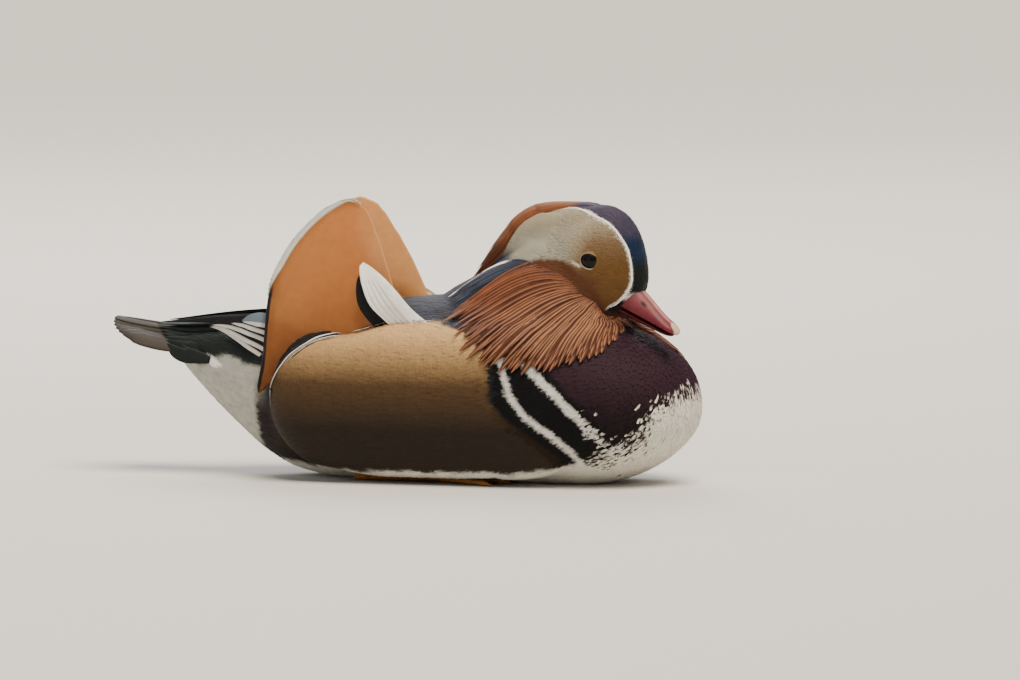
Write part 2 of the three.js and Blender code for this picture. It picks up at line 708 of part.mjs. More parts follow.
const SCAPULARS = [
  { root: [23, 38, 85], mid: [7, 39.5, 94], tip: [-6, 36, 108], width: 9, lift: 0 },
  { root: [16, 38.5, 85], mid: [0, 40.5, 96], tip: [-14, 36, 115.5], width: 10, lift: 1 },
  { root: [9, 39, 85], mid: [-7, 41.5, 97], tip: [-19, 35, 119.5], width: 10, lift: 0 },
  { root: [2, 40, 85], mid: [-13, 43, 95], tip: [-22, 38, 114], width: 9, lift: 1 },
];

function scapulars(side) {
  const feathers = SCAPULARS.map(({ root, mid, tip, width, lift }) => {
    const raised = [root, mid, tip].map(([x, y, z]) => place(side, [x, y + lift + 1.5, z]));
    return vane(raised, { width, facing: () => place(side, [0.25, 1, 0.35]), steps: 5 });
  });
  const band = rod(place(side, [27, 38, 87]), place(side, [-2, 41, 87.5]), 2.6, 2.6, 0, 8);
  return joined([band, ...feathers]);
}

// Wing: primaries that cross over the rump, and white-edged secondaries under the sail that close
// to a point behind it. Each row goes from its upper or inner feather to its lower or outer one.

const WING_ROWS = [
  { feathers: 4, roots: [[-40, 28, 88], [-46, 33, 82]], tips: [[-137, 8, 83.5], [-112, 15, 83.5]], width: 8.5 },
  { feathers: 5, roots: [[-44, 35, 84], [-48, 40, 64]], tips: [[-114, 17, 82], [-106, 19.5, 77.5]], width: 9.5 },
];

/** The folded wing's own thin pad on the side of the trunk. */
function wingPad(side) {
  const grid = count(5).map((r) =>
    count(7).map((c) => {
      const [x, z] = [mix(-64, 0, c / 6), mix(mix(62, 70, c / 6), mix(83, 91, c / 6), r / 4)];
      return onTrunk(side, x, z, PAD_LIFT);
    }),
  );
  return sheetOver(grid, PAD_THICKNESS);
}

function wing(side) {
  const feathers = WING_ROWS.flatMap(({ feathers: n, roots, tips, width }, row) =>
    count(n).map((i) => {
      const s = i / (n - 1);
      const [root, tip] = [along(roots)(s), along(tips)(s)];
      const lift = (i % 2 ? 0.5 : -0.5) + row * 0.8;
      const mid = root.map((v, k) => mix(v, tip[k], 0.5) + (k === 1 ? 2.2 : 0));
      const path = [root, mid, tip].map(([x, y, z]) => place(side, [x, y + lift, z]));
      return vane(path, { width, facing: () => place(side, [-0.15, 1, 0.55 - 0.4 * row]), profile: POINTED });
    }),
  );
  return joined([wingPad(side), ...feathers]);
}

// Tail: a shallow roof of feathers, the middle pair longest and on top, with coverts at its root

const TAIL_PAIRS = 6;
const TAIL_WIDTH = 11;

function tail() {
  const rectrices = Object.values(SIDES).flatMap((side) =>
    count(TAIL_PAIRS).map((i) => {
      const s = i / (TAIL_PAIRS - 1);
      const root = [-100, mix(2, 10, s), mix(79, 67, s)];
      const mid = [-130, mix(3, 17, s), mix(80.5, 67, s)];
      const tip = [mix(TAIL_TIP_X, TAIL_TIP_X + 15, s * s), mix(3, 19, s), mix(83, 74.5, s)];
      const shift = side > 0 ? 1.1 * (1 - s) : 0;
      const path = [root, mid, tip].map(([x, y, z]) => place(side, [x, y, z + shift]));
      return vane(path, { width: TAIL_WIDTH, facing: () => place(side, [0, 0.25 + 0.6 * s, 1]) });
    }),
  );
  const core = new Loft({
    rear: -136,
    front: -104,
    rearCap: 26,
    frontCap: 4,
    rearZ: 74,
    frontZ: 76,
    steps: 5,
    around: 12,
    halfWidth: line([[-136, 17], [-92, 21]]),
    top: line([[-136, 81], [-92, 83.5]]),
    bottom: line([[-136, 63], [-92, 60]]),
    widest: line([[-136, 71], [-92, 72]]),
  }).solid();
  return joined([core, ...rectrices]);
}

// The nodes, each cut clear of what it touches

const pieces = new Map();

/** Adds a node: its form, less each of the solids that it must stay clear of. */
function add(name, finish, form, clearOf = [], tolerance = 0.12) {
  const rest = clearOf.reduce((left, other) => left.subtract(other), form);
  pieces.set(name, { finish, solid: largest(rest, tolerance) });
}

const footHollows = joined(Object.values(SIDES).map(footHollow));
const grownTrunk = trunk.solid(GAP);
const grownBody = grownTrunk.add(lobes(GAP));
const grownNeck = neck.solid(GAP);
const grownHead = headSolid(GAP);
const grownBills = bills(GAP);
const sockets = joined(Object.values(SIDES).map((side) => eyeball(side, EYE_RADIUS + 1.5 * GAP, 7)));
const [behindBars, aheadOf] = [aheadOfBars(-GAP / 2), aheadOfBars(GAP / 2)];

add("torso", "mantle", trunk.solid(), [behindBars, footHollows, floorBlock], 0.15);
add("breast", "maroon", trunk.solid().add(lobes()).intersect(aheadOf), [footHollows, floorBlock]);
add("neck", "mantle", neck.solid(), [grownBody, grownHead]);
add("head", "face", headWithLids(), [grownBody, sockets], 0.15);
add("bill_upper", "bill", upperBillSolid(), [grownBody, grownHead, lowerBillSolid(GAP)], 0.03);
add("bill_lower", "bill", lowerBillSolid(), [grownBody, grownHead], 0.03);
add("crest", "crest", crest(), [grownHead, grownNeck, grownBody], 0.18);
add("tail", "tail", tail(), [grownBody], 0.2);

for (const [tag, side] of Object.entries(SIDES)) {
  const past = box([-300, side < 0 ? -GAP / 2 : -200, -10], [300, side < 0 ? 200 : GAP / 2, 200]);
  add("flank_" + tag, "flank", lobeOf(side).solid(), [grownTrunk, behindBars, footHollows, floorBlock]);
  add("eye_" + tag, "eye", eyeball(side), [], 0.02);
  add("ruff_" + tag, "ruff", ruff(tag), [grownHead, grownNeck, grownBody, grownBills], 0.22);
  add("nape_" + tag, "nape", nape(tag), [grownHead, grownNeck, grownBody], 0.22);
  add("sail_" + tag, "sail", sail(side), [grownBody], 0.03);
  add("wing_" + tag, "wing", wing(side), [grownBody, grownNeck, sail(side, GAP), past], 0.2);
  add("scapulars_" + tag, "scapulars", scapulars(side), [grownBody, grownNeck, sail(side, GAP)], 0.2);
  add("leg_" + tag, "foot", shank(side), [webbedFoot(side, GAP)]);
  add("foot_" + tag, "foot", webbedFoot(side));
}

// The finished group

const FINISHES = {
  maroon: { color: 0x3b2330, roughness: 0.6 },
  mantle: { color: 0x2c3340, roughness: 0.5 },
  flank: { color: 0xb08a55, roughness: 0.7 },
  face: { color: 0xd8cdb8, roughness: 0.75 },
  bill: { color: 0xa83a38, roughness: 0.35 },
  eye: { color: 0x120d08, roughness: 0.05 },
  crest: { color: 0x8a4020, roughness: 0.55 },
  nape: { color: 0x27304a, roughness: 0.5 },
  ruff: { color: 0xa85a2c, roughness: 0.7 },
  sail: { color: 0xc87c44, roughness: 0.6 },
  wing: { color: 0x24303a, roughness: 0.5 },
  scapulars: { color: 0xf0eee8, roughness: 0.7 },
  tail: { color: 0x5a5348, roughness: 0.65 },
  foot: { color: 0xb5762f, roughness: 0.6 },
};

const materials = Object.fromEntries(
  Object.entries(FINISHES).map(([name, finish]) => [
    name,
    new THREE.MeshStandardMaterial({ ...finish, metalness: 0, name }),
  ]),
);

const duck = new THREE.Group();
for (const [name, { finish, solid }] of pieces) {
  const mesh = new THREE.Mesh(geometryOf(solid), materials[finish]);
  mesh.name = name;
  duck.add(mesh);
}

// The origin is under the middle of the whole bird's box
const bounds = new THREE.Box3().setFromObject(duck);
const middle = bounds.getCenter(new THREE.Vector3());
duck.position.set(-middle.x, -middle.y, -bounds.min.z);

export default duck;
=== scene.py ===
"""A mandarin drake in breeding plumage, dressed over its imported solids.

Sizes are millimetres in the bird's own frame: x runs towards the breast, y to the bird's left and
z up, with the floor at z = 0. They are turned to metres in the row frame where a mesh is made.
"""
import logging
import math
from dataclasses import dataclass, field
from enum import Enum
from functools import cache
from typing import Callable, Sequence

import bpy
import numpy as np
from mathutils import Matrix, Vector
from mathutils.bvhtree import BVHTree


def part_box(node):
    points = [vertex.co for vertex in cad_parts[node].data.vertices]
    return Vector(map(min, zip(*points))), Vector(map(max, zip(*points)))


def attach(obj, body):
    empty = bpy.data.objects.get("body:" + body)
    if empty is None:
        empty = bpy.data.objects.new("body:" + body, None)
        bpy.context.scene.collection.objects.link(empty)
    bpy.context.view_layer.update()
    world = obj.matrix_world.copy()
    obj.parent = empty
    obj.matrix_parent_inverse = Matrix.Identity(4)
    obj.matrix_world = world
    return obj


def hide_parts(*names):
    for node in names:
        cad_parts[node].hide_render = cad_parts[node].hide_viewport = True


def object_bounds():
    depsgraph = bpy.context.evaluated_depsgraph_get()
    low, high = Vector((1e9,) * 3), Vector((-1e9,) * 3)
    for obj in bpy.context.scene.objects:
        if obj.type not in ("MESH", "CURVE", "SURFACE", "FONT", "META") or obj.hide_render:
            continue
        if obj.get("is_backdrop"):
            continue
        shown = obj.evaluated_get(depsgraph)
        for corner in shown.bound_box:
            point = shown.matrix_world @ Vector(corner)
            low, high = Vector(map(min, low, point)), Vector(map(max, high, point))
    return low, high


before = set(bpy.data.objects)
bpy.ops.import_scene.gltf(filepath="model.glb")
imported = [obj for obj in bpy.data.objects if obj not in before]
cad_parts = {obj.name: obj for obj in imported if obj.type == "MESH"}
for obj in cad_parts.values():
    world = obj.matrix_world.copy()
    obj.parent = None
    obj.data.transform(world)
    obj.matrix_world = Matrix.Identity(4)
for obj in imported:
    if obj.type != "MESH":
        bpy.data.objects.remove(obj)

CAD_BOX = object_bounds()
LOG = logging.getLogger("drake")

Array = np.ndarray
Curve = Callable[[Array], Array]
Paint = Callable[[Array, Array, Array], Array]
Point = Sequence[float]
Knots = Sequence[Point]
Random = np.random.Generator
Thing = bpy.types.Object

TAIL_TIP_X = -167.0  # the hindmost point in the bird's frame
SHIFT_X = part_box("tail")[0][0] * 1000 - TAIL_TIP_X  # from the bird's frame to the row's
SIDES = {"r": -1.0, "l": 1.0}
SEED = 20
TURN = 6.283  # radians in a turn
PLUMAGE = "Plumage"  # the colours painted on a mesh, whose alpha is the strength of the fine bars
VANE = "Vane"  # the map of places on a feather, in millimetres
BAKE = "OFBake"  # the map that shares the skin's unwrap


# Numbers


def linear(colour: str) -> Array:
    """The linear RGB of an sRGB hex colour."""
    parts = np.array([int(colour[i : i + 2], 16) / 255 for i in (1, 3, 5)])
    return np.where(parts <= 0.04045, parts / 12.92, ((parts + 0.055) / 1.055) ** 2.4)


def unit(vectors: Array) -> Array:
    """The vectors at length one."""
    return vectors / np.maximum(np.linalg.norm(vectors, axis=-1, keepdims=True), 1e-9)


def mix(low: Array | float, high: Array | float, share: Array | float) -> Array | float:
    """The value at a share of the way from low to high."""
    return low + (high - low) * share


def step(low: float, high: float, value: Array) -> Array:
    """A smooth rise from 0 at low to 1 at high, or a fall where high is the lower."""
    t = np.clip((value - low) / (high - low), 0, 1)
    return t * t * (3 - 2 * t)


def smooth(knots: Knots) -> Curve:
    """A smooth function through [x, value] knots, without overshoot.

    Args:
        knots: the points that it passes, with x rising.

    Returns:
        a function of x that holds its end values beyond the knots.
    """
    x, value = np.array([k[0] for k in knots], float), np.array([k[1] for k in knots], float)
    slope = np.diff(value) / np.diff(x)
    tangent = np.concatenate([[slope[0]], np.zeros(len(x) - 2), [slope[-1]]])
    same = slope[:-1] * slope[1:] > 0
    total = np.where(same, slope[:-1] + slope[1:], 1)
    tangent[1:-1] = np.where(same, 2 * slope[:-1] * slope[1:] / total, 0)

    def curve(at: Array) -> Array:
        """The value at each x.

        Args:
            at: the values of x.

        Returns:
            the value at each.
        """
        at = np.clip(np.asarray(at, float), x[0], x[-1])
        i = np.clip(np.searchsorted(x, at, side="right") - 1, 0, len(x) - 2)
        h = x[i + 1] - x[i]
        t = (at - x[i]) / h
        bent = tangent[i] * t * (1 - t) ** 2 + tangent[i + 1] * t * t * (t - 1)
        return value[i] * (1 + 2 * t) * (1 - t) ** 2 + value[i + 1] * t * t * (3 - 2 * t) + h * bent

    return curve


def along(points: Knots) -> Curve:
    """A smooth path through points.

    Args:
        points: the points that it passes, one step of its share apart.

    Returns:
        a function of the share of the path from 0 to 1.
    """
    last = max(len(points) - 1, 1)
    parts = [smooth([(i / last, p[k]) for i, p in enumerate(points)]) for k in range(len(points[0]))]
    return lambda share: np.stack([part(share) for part in parts], axis=-1)


def line_distance(points: Array, corners: Knots) -> Array:
    """How far 2-D points lie from a broken line.

    Args:
        points: the points.
        corners: the corners of the line.

    Returns:
        the distance of each point.
    """
    line = np.array(corners, float)
    best = np.full(len(points), np.inf)
    for start, end in zip(line[:-1], line[1:]):
        run = end - start
        t = np.clip(((points - start) @ run) / (run @ run), 0, 1)
        best = np.minimum(best, np.linalg.norm(points - start - t[:, None] * run, axis=1))
    return best


def inside_distance(points: Array, corners: Knots) -> Array:
    """How far 2-D points lie inside an outline.

    Args:
        points: the points.
        corners: the corners of the outline.

    Returns:
        the distance of each point from the outline, negative outside it.
    """
    outline = np.array(corners, float)
    following = np.roll(outline, -1, axis=0)
    crossings = np.zeros(len(points), int)
    for (ax, ay), (bx, by) in zip(outline, following):
        spans = (ay > points[:, 1]) != (by > points[:, 1])
        cross = ax + (points[:, 1] - ay) / (by - ay if by != ay else 1e-9) * (bx - ax)
        crossings += spans & (points[:, 0] < cross)
    distance = line_distance(points, [*corners, corners[0]])
    return np.where(crossings % 2 == 1, distance, -distance)


def ripple(points: Array, size: float, seed: int, waves: int = 7) -> Array:
    """A smooth random field.

    Args:
        points: where it is read.
        size: about how large its features are.
        seed: which field it is.
        waves: how many plane waves it is made of.

    Returns:
        its value at each point, from -1 to 1.
    """
    rng = np.random.default_rng(seed)
    total = np.zeros(len(points))
    for _ in range(waves):
        total += np.sin(points @ (unit(rng.normal(size=3)) * 2 * math.pi / size) + rng.uniform(0, 6.28))
    return np.clip(total / (waves / 2), -1, 1)


def to_row(points: Array) -> Array:
    """Points of the bird's frame in metres in the row frame."""
    return (points.reshape(-1, 3) + [SHIFT_X, 0, 0]) * 0.001


# Frames and forms


@dataclass(frozen=True)
class HeadFrame:
    """The head's own frame, centred between the eyes: x forwards, y to the left and z up."""

    centre: tuple[float, float, float] = (110.1, -5.0, 121.0)
    yaw_deg: float = -15.0  # it looks a little to the bird's right

    def turn(self) -> Array:
        """The rotation from the head's frame to the bird's."""
        c, s = math.cos(math.radians(self.yaw_deg)), math.sin(math.radians(self.yaw_deg))
        return np.array([[c, -s, 0], [s, c, 0], [0, 0, 1]])

    def to_bird(self, points: Array) -> Array:
        """Head points in the bird's frame."""
        return points @ self.turn().T + self.centre

    def from_bird(self, points: Array) -> Array:
        """Bird points in the head's frame."""
        return (points - self.centre) @ self.turn()


HEAD = HeadFrame()


@dataclass
class Surface:
    """Points and faces of a mesh under construction."""

    points: Array
    faces: list[tuple[int, ...]]

    def moved(self, change: Callable[[Array], Array]) -> "Surface":
        """The same faces over changed points."""
        return Surface(change(self.points), self.faces)


def over_rings(rings: Array) -> Surface:
    """A closed skin over rings of points, with a fan over each end.

    Args:
        rings: an array of rings by points round each ring by three.

    Returns:
        the closed surface.
    """
    count, around = rings.shape[:2]
    points = np.concatenate([rings.reshape(-1, 3), rings[[0, -1]].mean(axis=1)])
    first, last = len(points) - 2, len(points) - 1
    faces = []
    for i in range(around):
        j = (i + 1) % around
        faces.append((first, j, i))
        faces.append((last, (count - 1) * around + i, (count - 1) * around + j))
        for r in range(count - 1):
            a, b = r * around + i, r * around + j
            faces.append((a, b, b + around, a + around))
    return Surface(points, faces)


@dataclass
class Loft:
    """A rounded form along x whose sections are functions of x, closed round a point at each end."""

    rear: float
    front: float
    rear_cap: float
    front_cap: float
    rear_z: float
    front_z: float
    half_width: Knots
    top: Knots
    bottom: Knots
    widest: Knots
    power: float = 2.2
    cap_power: float = 2.2
    middle: Knots = ((0, 0), (1, 0))

    def surface(self, steps: int, around: int, depth: float) -> Surface:
        """The closed skin of the form.

        Args:
            steps: how many rings of points it has, less one.
            around: how many points are in each ring.
            depth: how far it is drawn in from the full form.

        Returns:
            the surface.
        """
        share = np.linspace(0, 1, steps + 1)
        eased = mix(share, (1 - np.cos(np.pi * share)) / 2, 0.8)
        x = mix(self.rear + depth, self.front - depth, mix(0.0004, 0.9996, eased))
        ahead = x > (self.rear + self.front) / 2
        into_front = (x - self.front + self.front_cap + depth) / self.front_cap
        into_rear = (self.rear + self.rear_cap - x + depth) / self.rear_cap
        t = np.clip(np.where(ahead, into_front, into_rear), 0, 1)
        closing = (1 - t**self.cap_power) ** (1 / self.cap_power)
        height = np.where(ahead, self.front_z, self.rear_z)
        top, bottom, widest = (height + (smooth(k)(x) - height) * closing for k in (self.top, self.bottom, self.widest))
        inset = depth * closing
        top, bottom = top - inset, bottom + inset
        half = np.maximum(smooth(self.half_width)(x) * closing - inset, 0.05)
        widest = np.clip(widest, bottom, top)
        angle = np.linspace(0, 2 * np.pi, around, endpoint=False)
        bend = lambda value: np.sign(value) * np.abs(value) ** (2 / self.power)
        across, up = bend(np.cos(angle)), bend(np.sin(angle))
        reach = np.where(up > 0, (top - widest)[:, None], (widest - bottom)[:, None])
        middle = smooth(self.middle)(x)[:, None] + half[:, None] * across
        return over_rings(np.stack([x[:, None] + 0 * reach, middle, widest[:, None] + reach * up], axis=-1))


# Meshes


def linked(name: str, data: bpy.types.ID) -> Thing:
    """Adds an object to the scene.

    Args:
        name: what it is called.
        data: its mesh, camera or light.

    Returns:
        the object.
    """
    thing = bpy.data.objects.new(name, data)
    bpy.context.scene.collection.objects.link(thing)
    return thing


def plain_mesh(name: str, surface: Surface) -> Thing:
    """A mesh over a surface in the bird's frame.

    Args:
        name: what it is called.
        surface: its points and faces.

    Returns:
        the object.
    """
    mesh = bpy.data.meshes.new(name)
    mesh.from_pydata(to_row(surface.points).tolist(), [], surface.faces)
    mesh.validate()
    return linked(name, mesh)


def fetched(items: Sequence, key: str, wide: int = 1, kind: type = float) -> Array:
    """One property of every item of a mesh.

    Args:
        items: its vertices, loops, faces or the like.
        key: the property.
        wide: how many numbers it has.
        kind: the type of number.

    Returns:
        the numbers, a row to each item.
    """
    values = np.empty(len(items) * wide, kind)
    items.foreach_get(key, values)
    return values.reshape(-1, wide)


def paint_mesh(mesh: bpy.types.Mesh, colours: Array, maps: dict[str, Array]) -> None:
    """Gives a mesh its painted colours and its maps.

    Args:
        mesh: the mesh.
        colours: RGBA of every point.
        maps: the place of every corner of a face, by the map's name.
    """
    attribute = mesh.attributes.new(PLUMAGE, "FLOAT_COLOR", "POINT")
    attribute.data.foreach_set("color", colours.ravel().astype(np.float32))
    for name, places in maps.items():
        mesh.uv_layers.new(name=name).data.foreach_set("uv", places.ravel().astype(np.float32))


def settle(thing: Thing, **changes: dict) -> None:
    """Changes the mesh of an object by modifiers.

    Args:
        thing: the object.
        changes: the properties of each modifier, by its type.
    """
    for kind, settings in changes.items():
        change = thing.modifiers.new(kind, kind)
        for key, value in settings.items():
            setattr(change, key, value)
    graph = bpy.context.evaluated_depsgraph_get()
    made = bpy.data.meshes.new_from_object(thing.evaluated_get(graph), depsgraph=graph)
    thing.modifiers.clear()
    thing.data = made


def soften(thing: Thing) -> None:
    """Shades every face of an object smooth."""
    thing.data.polygons.foreach_set("use_smooth", np.ones(len(thing.data.polygons), bool))
    thing.data.update()


def join_surfaces(surfaces: Sequence[Surface]) -> Surface:
    """Lays several surfaces together, without fusing them.

    Args:
        surfaces: the surfaces.

    Returns:
        one surface with all their faces.
    """
    points, faces, start = [], [], 0
    for surface in surfaces:
        points.append(surface.points)
        faces += [tuple(i + start for i in face) for face in surface.faces]
        start += len(surface.points)
    return Surface(np.concatenate(points), faces)


# Finishes


def node(tree: bpy.types.NodeTree, kind: str, inputs: dict, **settings: object) -> bpy.types.Node:
    """Adds a shader node with its settings and links.

    Args:
        tree: the tree that it goes into.
        kind: its type, without the ShaderNode that all of them start with.
        inputs: what goes into it, by name or number: a value, a socket, or a node for its first output.
        settings: its own properties.

    Returns:
        the node.
    """
    made = tree.nodes.new("ShaderNode" + kind)
    for key, value in settings.items():
        setattr(made, key, value)
    for key, value in inputs.items():
        source = value.outputs[0] if isinstance(value, bpy.types.Node) else value
        if isinstance(source, bpy.types.NodeSocket):
            tree.links.new(source, made.inputs[key])
        else:
            made.inputs[key].default_value = source
    return made


def rgba(colour: str) -> tuple[float, float, float, float]:
    """A hex colour as a socket value."""
    return (*linear(colour), 1.0)


def per_metre(size: float) -> float:
    """The scale that gives a texture in object coordinates, which are metres, features of a size in millimetres."""
    return 1000 / size


@dataclass(frozen=True)
class Finish:
    """What every finish shares: one surface shader, fed by what the finish is made of."""

    name: str

    def surface(self, tree: bpy.types.NodeTree) -> dict:
        """What goes into the surface shader, by the names of its inputs."""
        raise NotImplementedError

    @cache
    def material(self) -> bpy.types.Material:
        """The finished material.

        Returns:
            the same one each time.
        """
        material = bpy.data.materials.new(self.name)
        material.use_nodes = True
        tree = material.node_tree
        tree.nodes.clear()
        shader = node(tree, "BsdfPrincipled", self.surface(tree))
        node(tree, "OutputMaterial", {0: shader})
        return material


@dataclass(frozen=True)
class Feathers(Finish):
    """Feather keratin: barbs laid side by side, which break the light into a soft, silky sheen.

    The colour comes from the markings painted on the mesh. Barbs are drawn 0.9 mm apart, as the
    real 0.3 mm ones are too fine to show.
    """

    roughness: float = 0.62
    sheen: float = 0.06
    sheen_colour: str = "#ffffff"
    specular: float = 0.2
    barb_mm: float = 0.9
    barb_depth: float = 0.1  # share by which the barbs vary the colour
    slant: float = 1.4  # of the barbs to the shaft
    mottle: float = 0.12  # share by which patches vary the colour
    relief: float = 0.25
    bars: float = 0.0  # share by which fine wavy bars darken the colour where the mesh asks for them
    glow: float = 0.0  # of light through the thin vane

    def surface(self, tree: bpy.types.NodeTree) -> dict:
        """The painted colour, varied by barbs, patches and bars, over the relief of the barbs.

        Args:
            tree: the material's tree.

        Returns:
            what goes into the surface shader.
        """
        paint = node(tree, "Attribute", {}, attribute_name=PLUMAGE)
        place = node(tree, "SeparateXYZ", {0: node(tree, "UVMap", {}, uv_map=VANE)})
        side = node(tree, "Math", {0: place}, operation="ABSOLUTE")
        slant = node(tree, "Math", {0: side, 1: self.slant, 2: place.outputs[1]}, operation="MULTIPLY_ADD")
        turns = node(tree, "Math", {0: slant, 1: TURN / self.barb_mm}, operation="MULTIPLY")
        wave = node(tree, "Math", {0: turns}, operation="SINE")
        where = node(tree, "TexCoord", {}).outputs["Object"]
        grain = node(tree, "TexNoise", {"Vector": where, "Scale": per_metre(4.5), "Detail": 3.0, "Roughness": 0.6})
        shade = node(tree, "MapRange", {0: wave, 1: -1.0, 2: 1.0, 3: 1 - self.barb_depth, 4: 1 + self.barb_depth})
        patchy = node(tree, "MapRange", {0: grain, 1: 0.3, 2: 0.7, 3: 1 - self.mottle, 4: 1 + self.mottle})
        tone = node(tree, "Math", {0: shade, 1: patchy}, operation="MULTIPLY")
        base = node(tree, "VectorMath", {0: paint, "Scale": tone}, operation="SCALE")
        if self.bars > 0:
            # Wavy bars 2 mm apart; the real vermiculation is a third of that and too fine to show.
            # A wave texture has a band every turn / (20 scale) metres, so 2 mm is a scale of 157
            size = {"Scale": TURN / 20 / 0.002, "Distortion": 9.0, "Detail": 2.0, "Detail Scale": 2.2}
            waves = node(tree, "TexWave", {"Vector": where, **size}, bands_direction="X").outputs["Fac"]
            amount = node(tree, "Math", {0: paint.outputs["Alpha"], 1: waves}, operation="MULTIPLY")
            dark = node(tree, "MapRange", {0: amount, 1: 0.0, 2: 1.0, 3: 1.0, 4: 1 - self.bars})
            base = node(tree, "VectorMath", {0: base, "Scale": dark}, operation="SCALE")
        return {
            "Base Color": base,
            "Roughness": self.roughness,
            "Normal": node(tree, "Bump", {"Height": wave, "Strength": self.relief, "Distance": 0.0003}),
            "IOR": 1.54,
            "Specular IOR Level": self.specular,
            "Sheen Weight": self.sheen,
            "Sheen Roughness": 0.45,
            "Sheen Tint": rgba(self.sheen_colour),
            "Subsurface Weight": self.glow,
            "Subsurface Scale": 0.005,
            "Subsurface Radius": (1.0, 0.85, 0.7),
        }


@dataclass(frozen=True)
class Horn(Finish):
    """Bill keratin: a satin, slightly waxy skin with fine pits; the lighter ridge is a highlight painted into the
    bill's colours.
    """

    name: str = "bill_keratin"

    def surface(self, tree: bpy.types.NodeTree) -> dict:
        """The painted colour, faintly mottled, over pits 0.9 mm apart.

        Args:
            tree: the material's tree.

        Returns:
            what goes into the surface shader.
        """
        paint = node(tree, "Attribute", {}, attribute_name=PLUMAGE)
        where = node(tree, "TexCoord", {}).outputs["Object"]
        mottle = node(tree, "TexNoise", {"Vector": where, "Scale": per_metre(3.5), "Detail": 4.0})
        tone = node(tree, "MapRange", {0: mottle, 1: 0.3, 2: 0.7, 3: 0.85, 4: 1.12})
        pits = node(tree, "TexNoise", {"Vector": where, "Scale": per_metre(0.9), "Detail": 2.0})
        return {
            "Base Color": node(tree, "VectorMath", {0: paint, "Scale": tone}, operation="SCALE"),
            "Roughness": 0.5,
            "IOR": 1.54,
            "Normal": node(tree, "Bump", {"Height": pits, "Strength": 0.25, "Distance": 0.0002}),
            "Subsurface Weight": 0.08,
            "Subsurface Scale": 0.002,
            "Specular IOR Level": 0.3,
            "Coat Weight": 0.04,
            "Coat Roughness": 0.25,
        }


@dataclass(frozen=True)
class WetEye(Finish):
    """A living eye: a dark brown iris round a black pupil under a clear wet cornea."""

    name: str = "eye_cornea"

    def surface(self, tree: bpy.types.NodeTree) -> dict:
        """The painted iris under a sharp wet gloss.

        Args:
            tree: the material's tree.

        Returns:
            what goes into the surface shader.
        """
        return {
            "Base Color": node(tree, "Attribute", {}, attribute_name=PLUMAGE),
            "Roughness": 0.3,
            "IOR": 1.38,
            "Specular IOR Level": 0.1,
            "Coat Weight": 0.45,
            "Coat Roughness": 0.03,
            "Coat IOR": 1.34,
        }


@dataclass(frozen=True)
class FootSkin(Finish):
    """Dull orange foot skin, covered in small leathery scales about 1.2 mm across."""

    name: str = "foot_scales"
    colour: str = "#b5762f"
    groove: str = "#6b4420"

    def surface(self, tree: bpy.types.NodeTree) -> dict:
        """Raised scales with darker grooves between them.

        Args:
            tree: the material's tree.

        Returns:
            what goes into the surface shader.
        """
        where = node(tree, "TexCoord", {}).outputs["Object"]
        scales = node(tree, "TexVoronoi", {"Vector": where, "Scale": per_metre(1.2)}, feature="DISTANCE_TO_EDGE")
        edge = node(tree, "MapRange", {0: scales, 1: 0.0, 2: 0.12, 3: 0.0, 4: 1.0})
        colour = node(tree, "Mix", {0: edge, 6: rgba(self.groove), 7: rgba(self.colour)}, data_type="RGBA")
        bump = node(tree, "Bump", {"Height": edge, "Strength": 0.5, "Distance": 0.0003})
        return {"Base Color": colour.outputs[2], "Roughness": 0.5, "IOR": 1.45, "Normal": bump}


@dataclass(frozen=True)
class StudioFloor(Finish):
    """Matt painted board in a pale grey, which only carries the shadow."""

    name: str = "painted_board"
    colour: str = "#d9d6d0"

    def surface(self, tree: bpy.types.NodeTree) -> dict:
        """Flat paint."""
        return {"Base Color": rgba(self.colour), "Roughness": 0.7}


def finish_piece(thing: Thing, finish: Finish, slot: str, *nodes: str) -> None:
    """Gives a piece its material and body, hides the solids that it stands for, and logs its slot.

    Args:
        thing: the piece.
        finish: what it is made of.
        slot: the name of the record's slot for its finish, which is only logged.
        nodes: the solids that it stands for.
    """
    soften(thing)
    thing.data.materials.clear()
    thing.data.materials.append(finish.material())
    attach(thing, "root")
    if nodes:
        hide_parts(*nodes)
    LOG.info("%s: %d faces, slot %s", thing.name, len(thing.data.polygons), slot)


# Markings


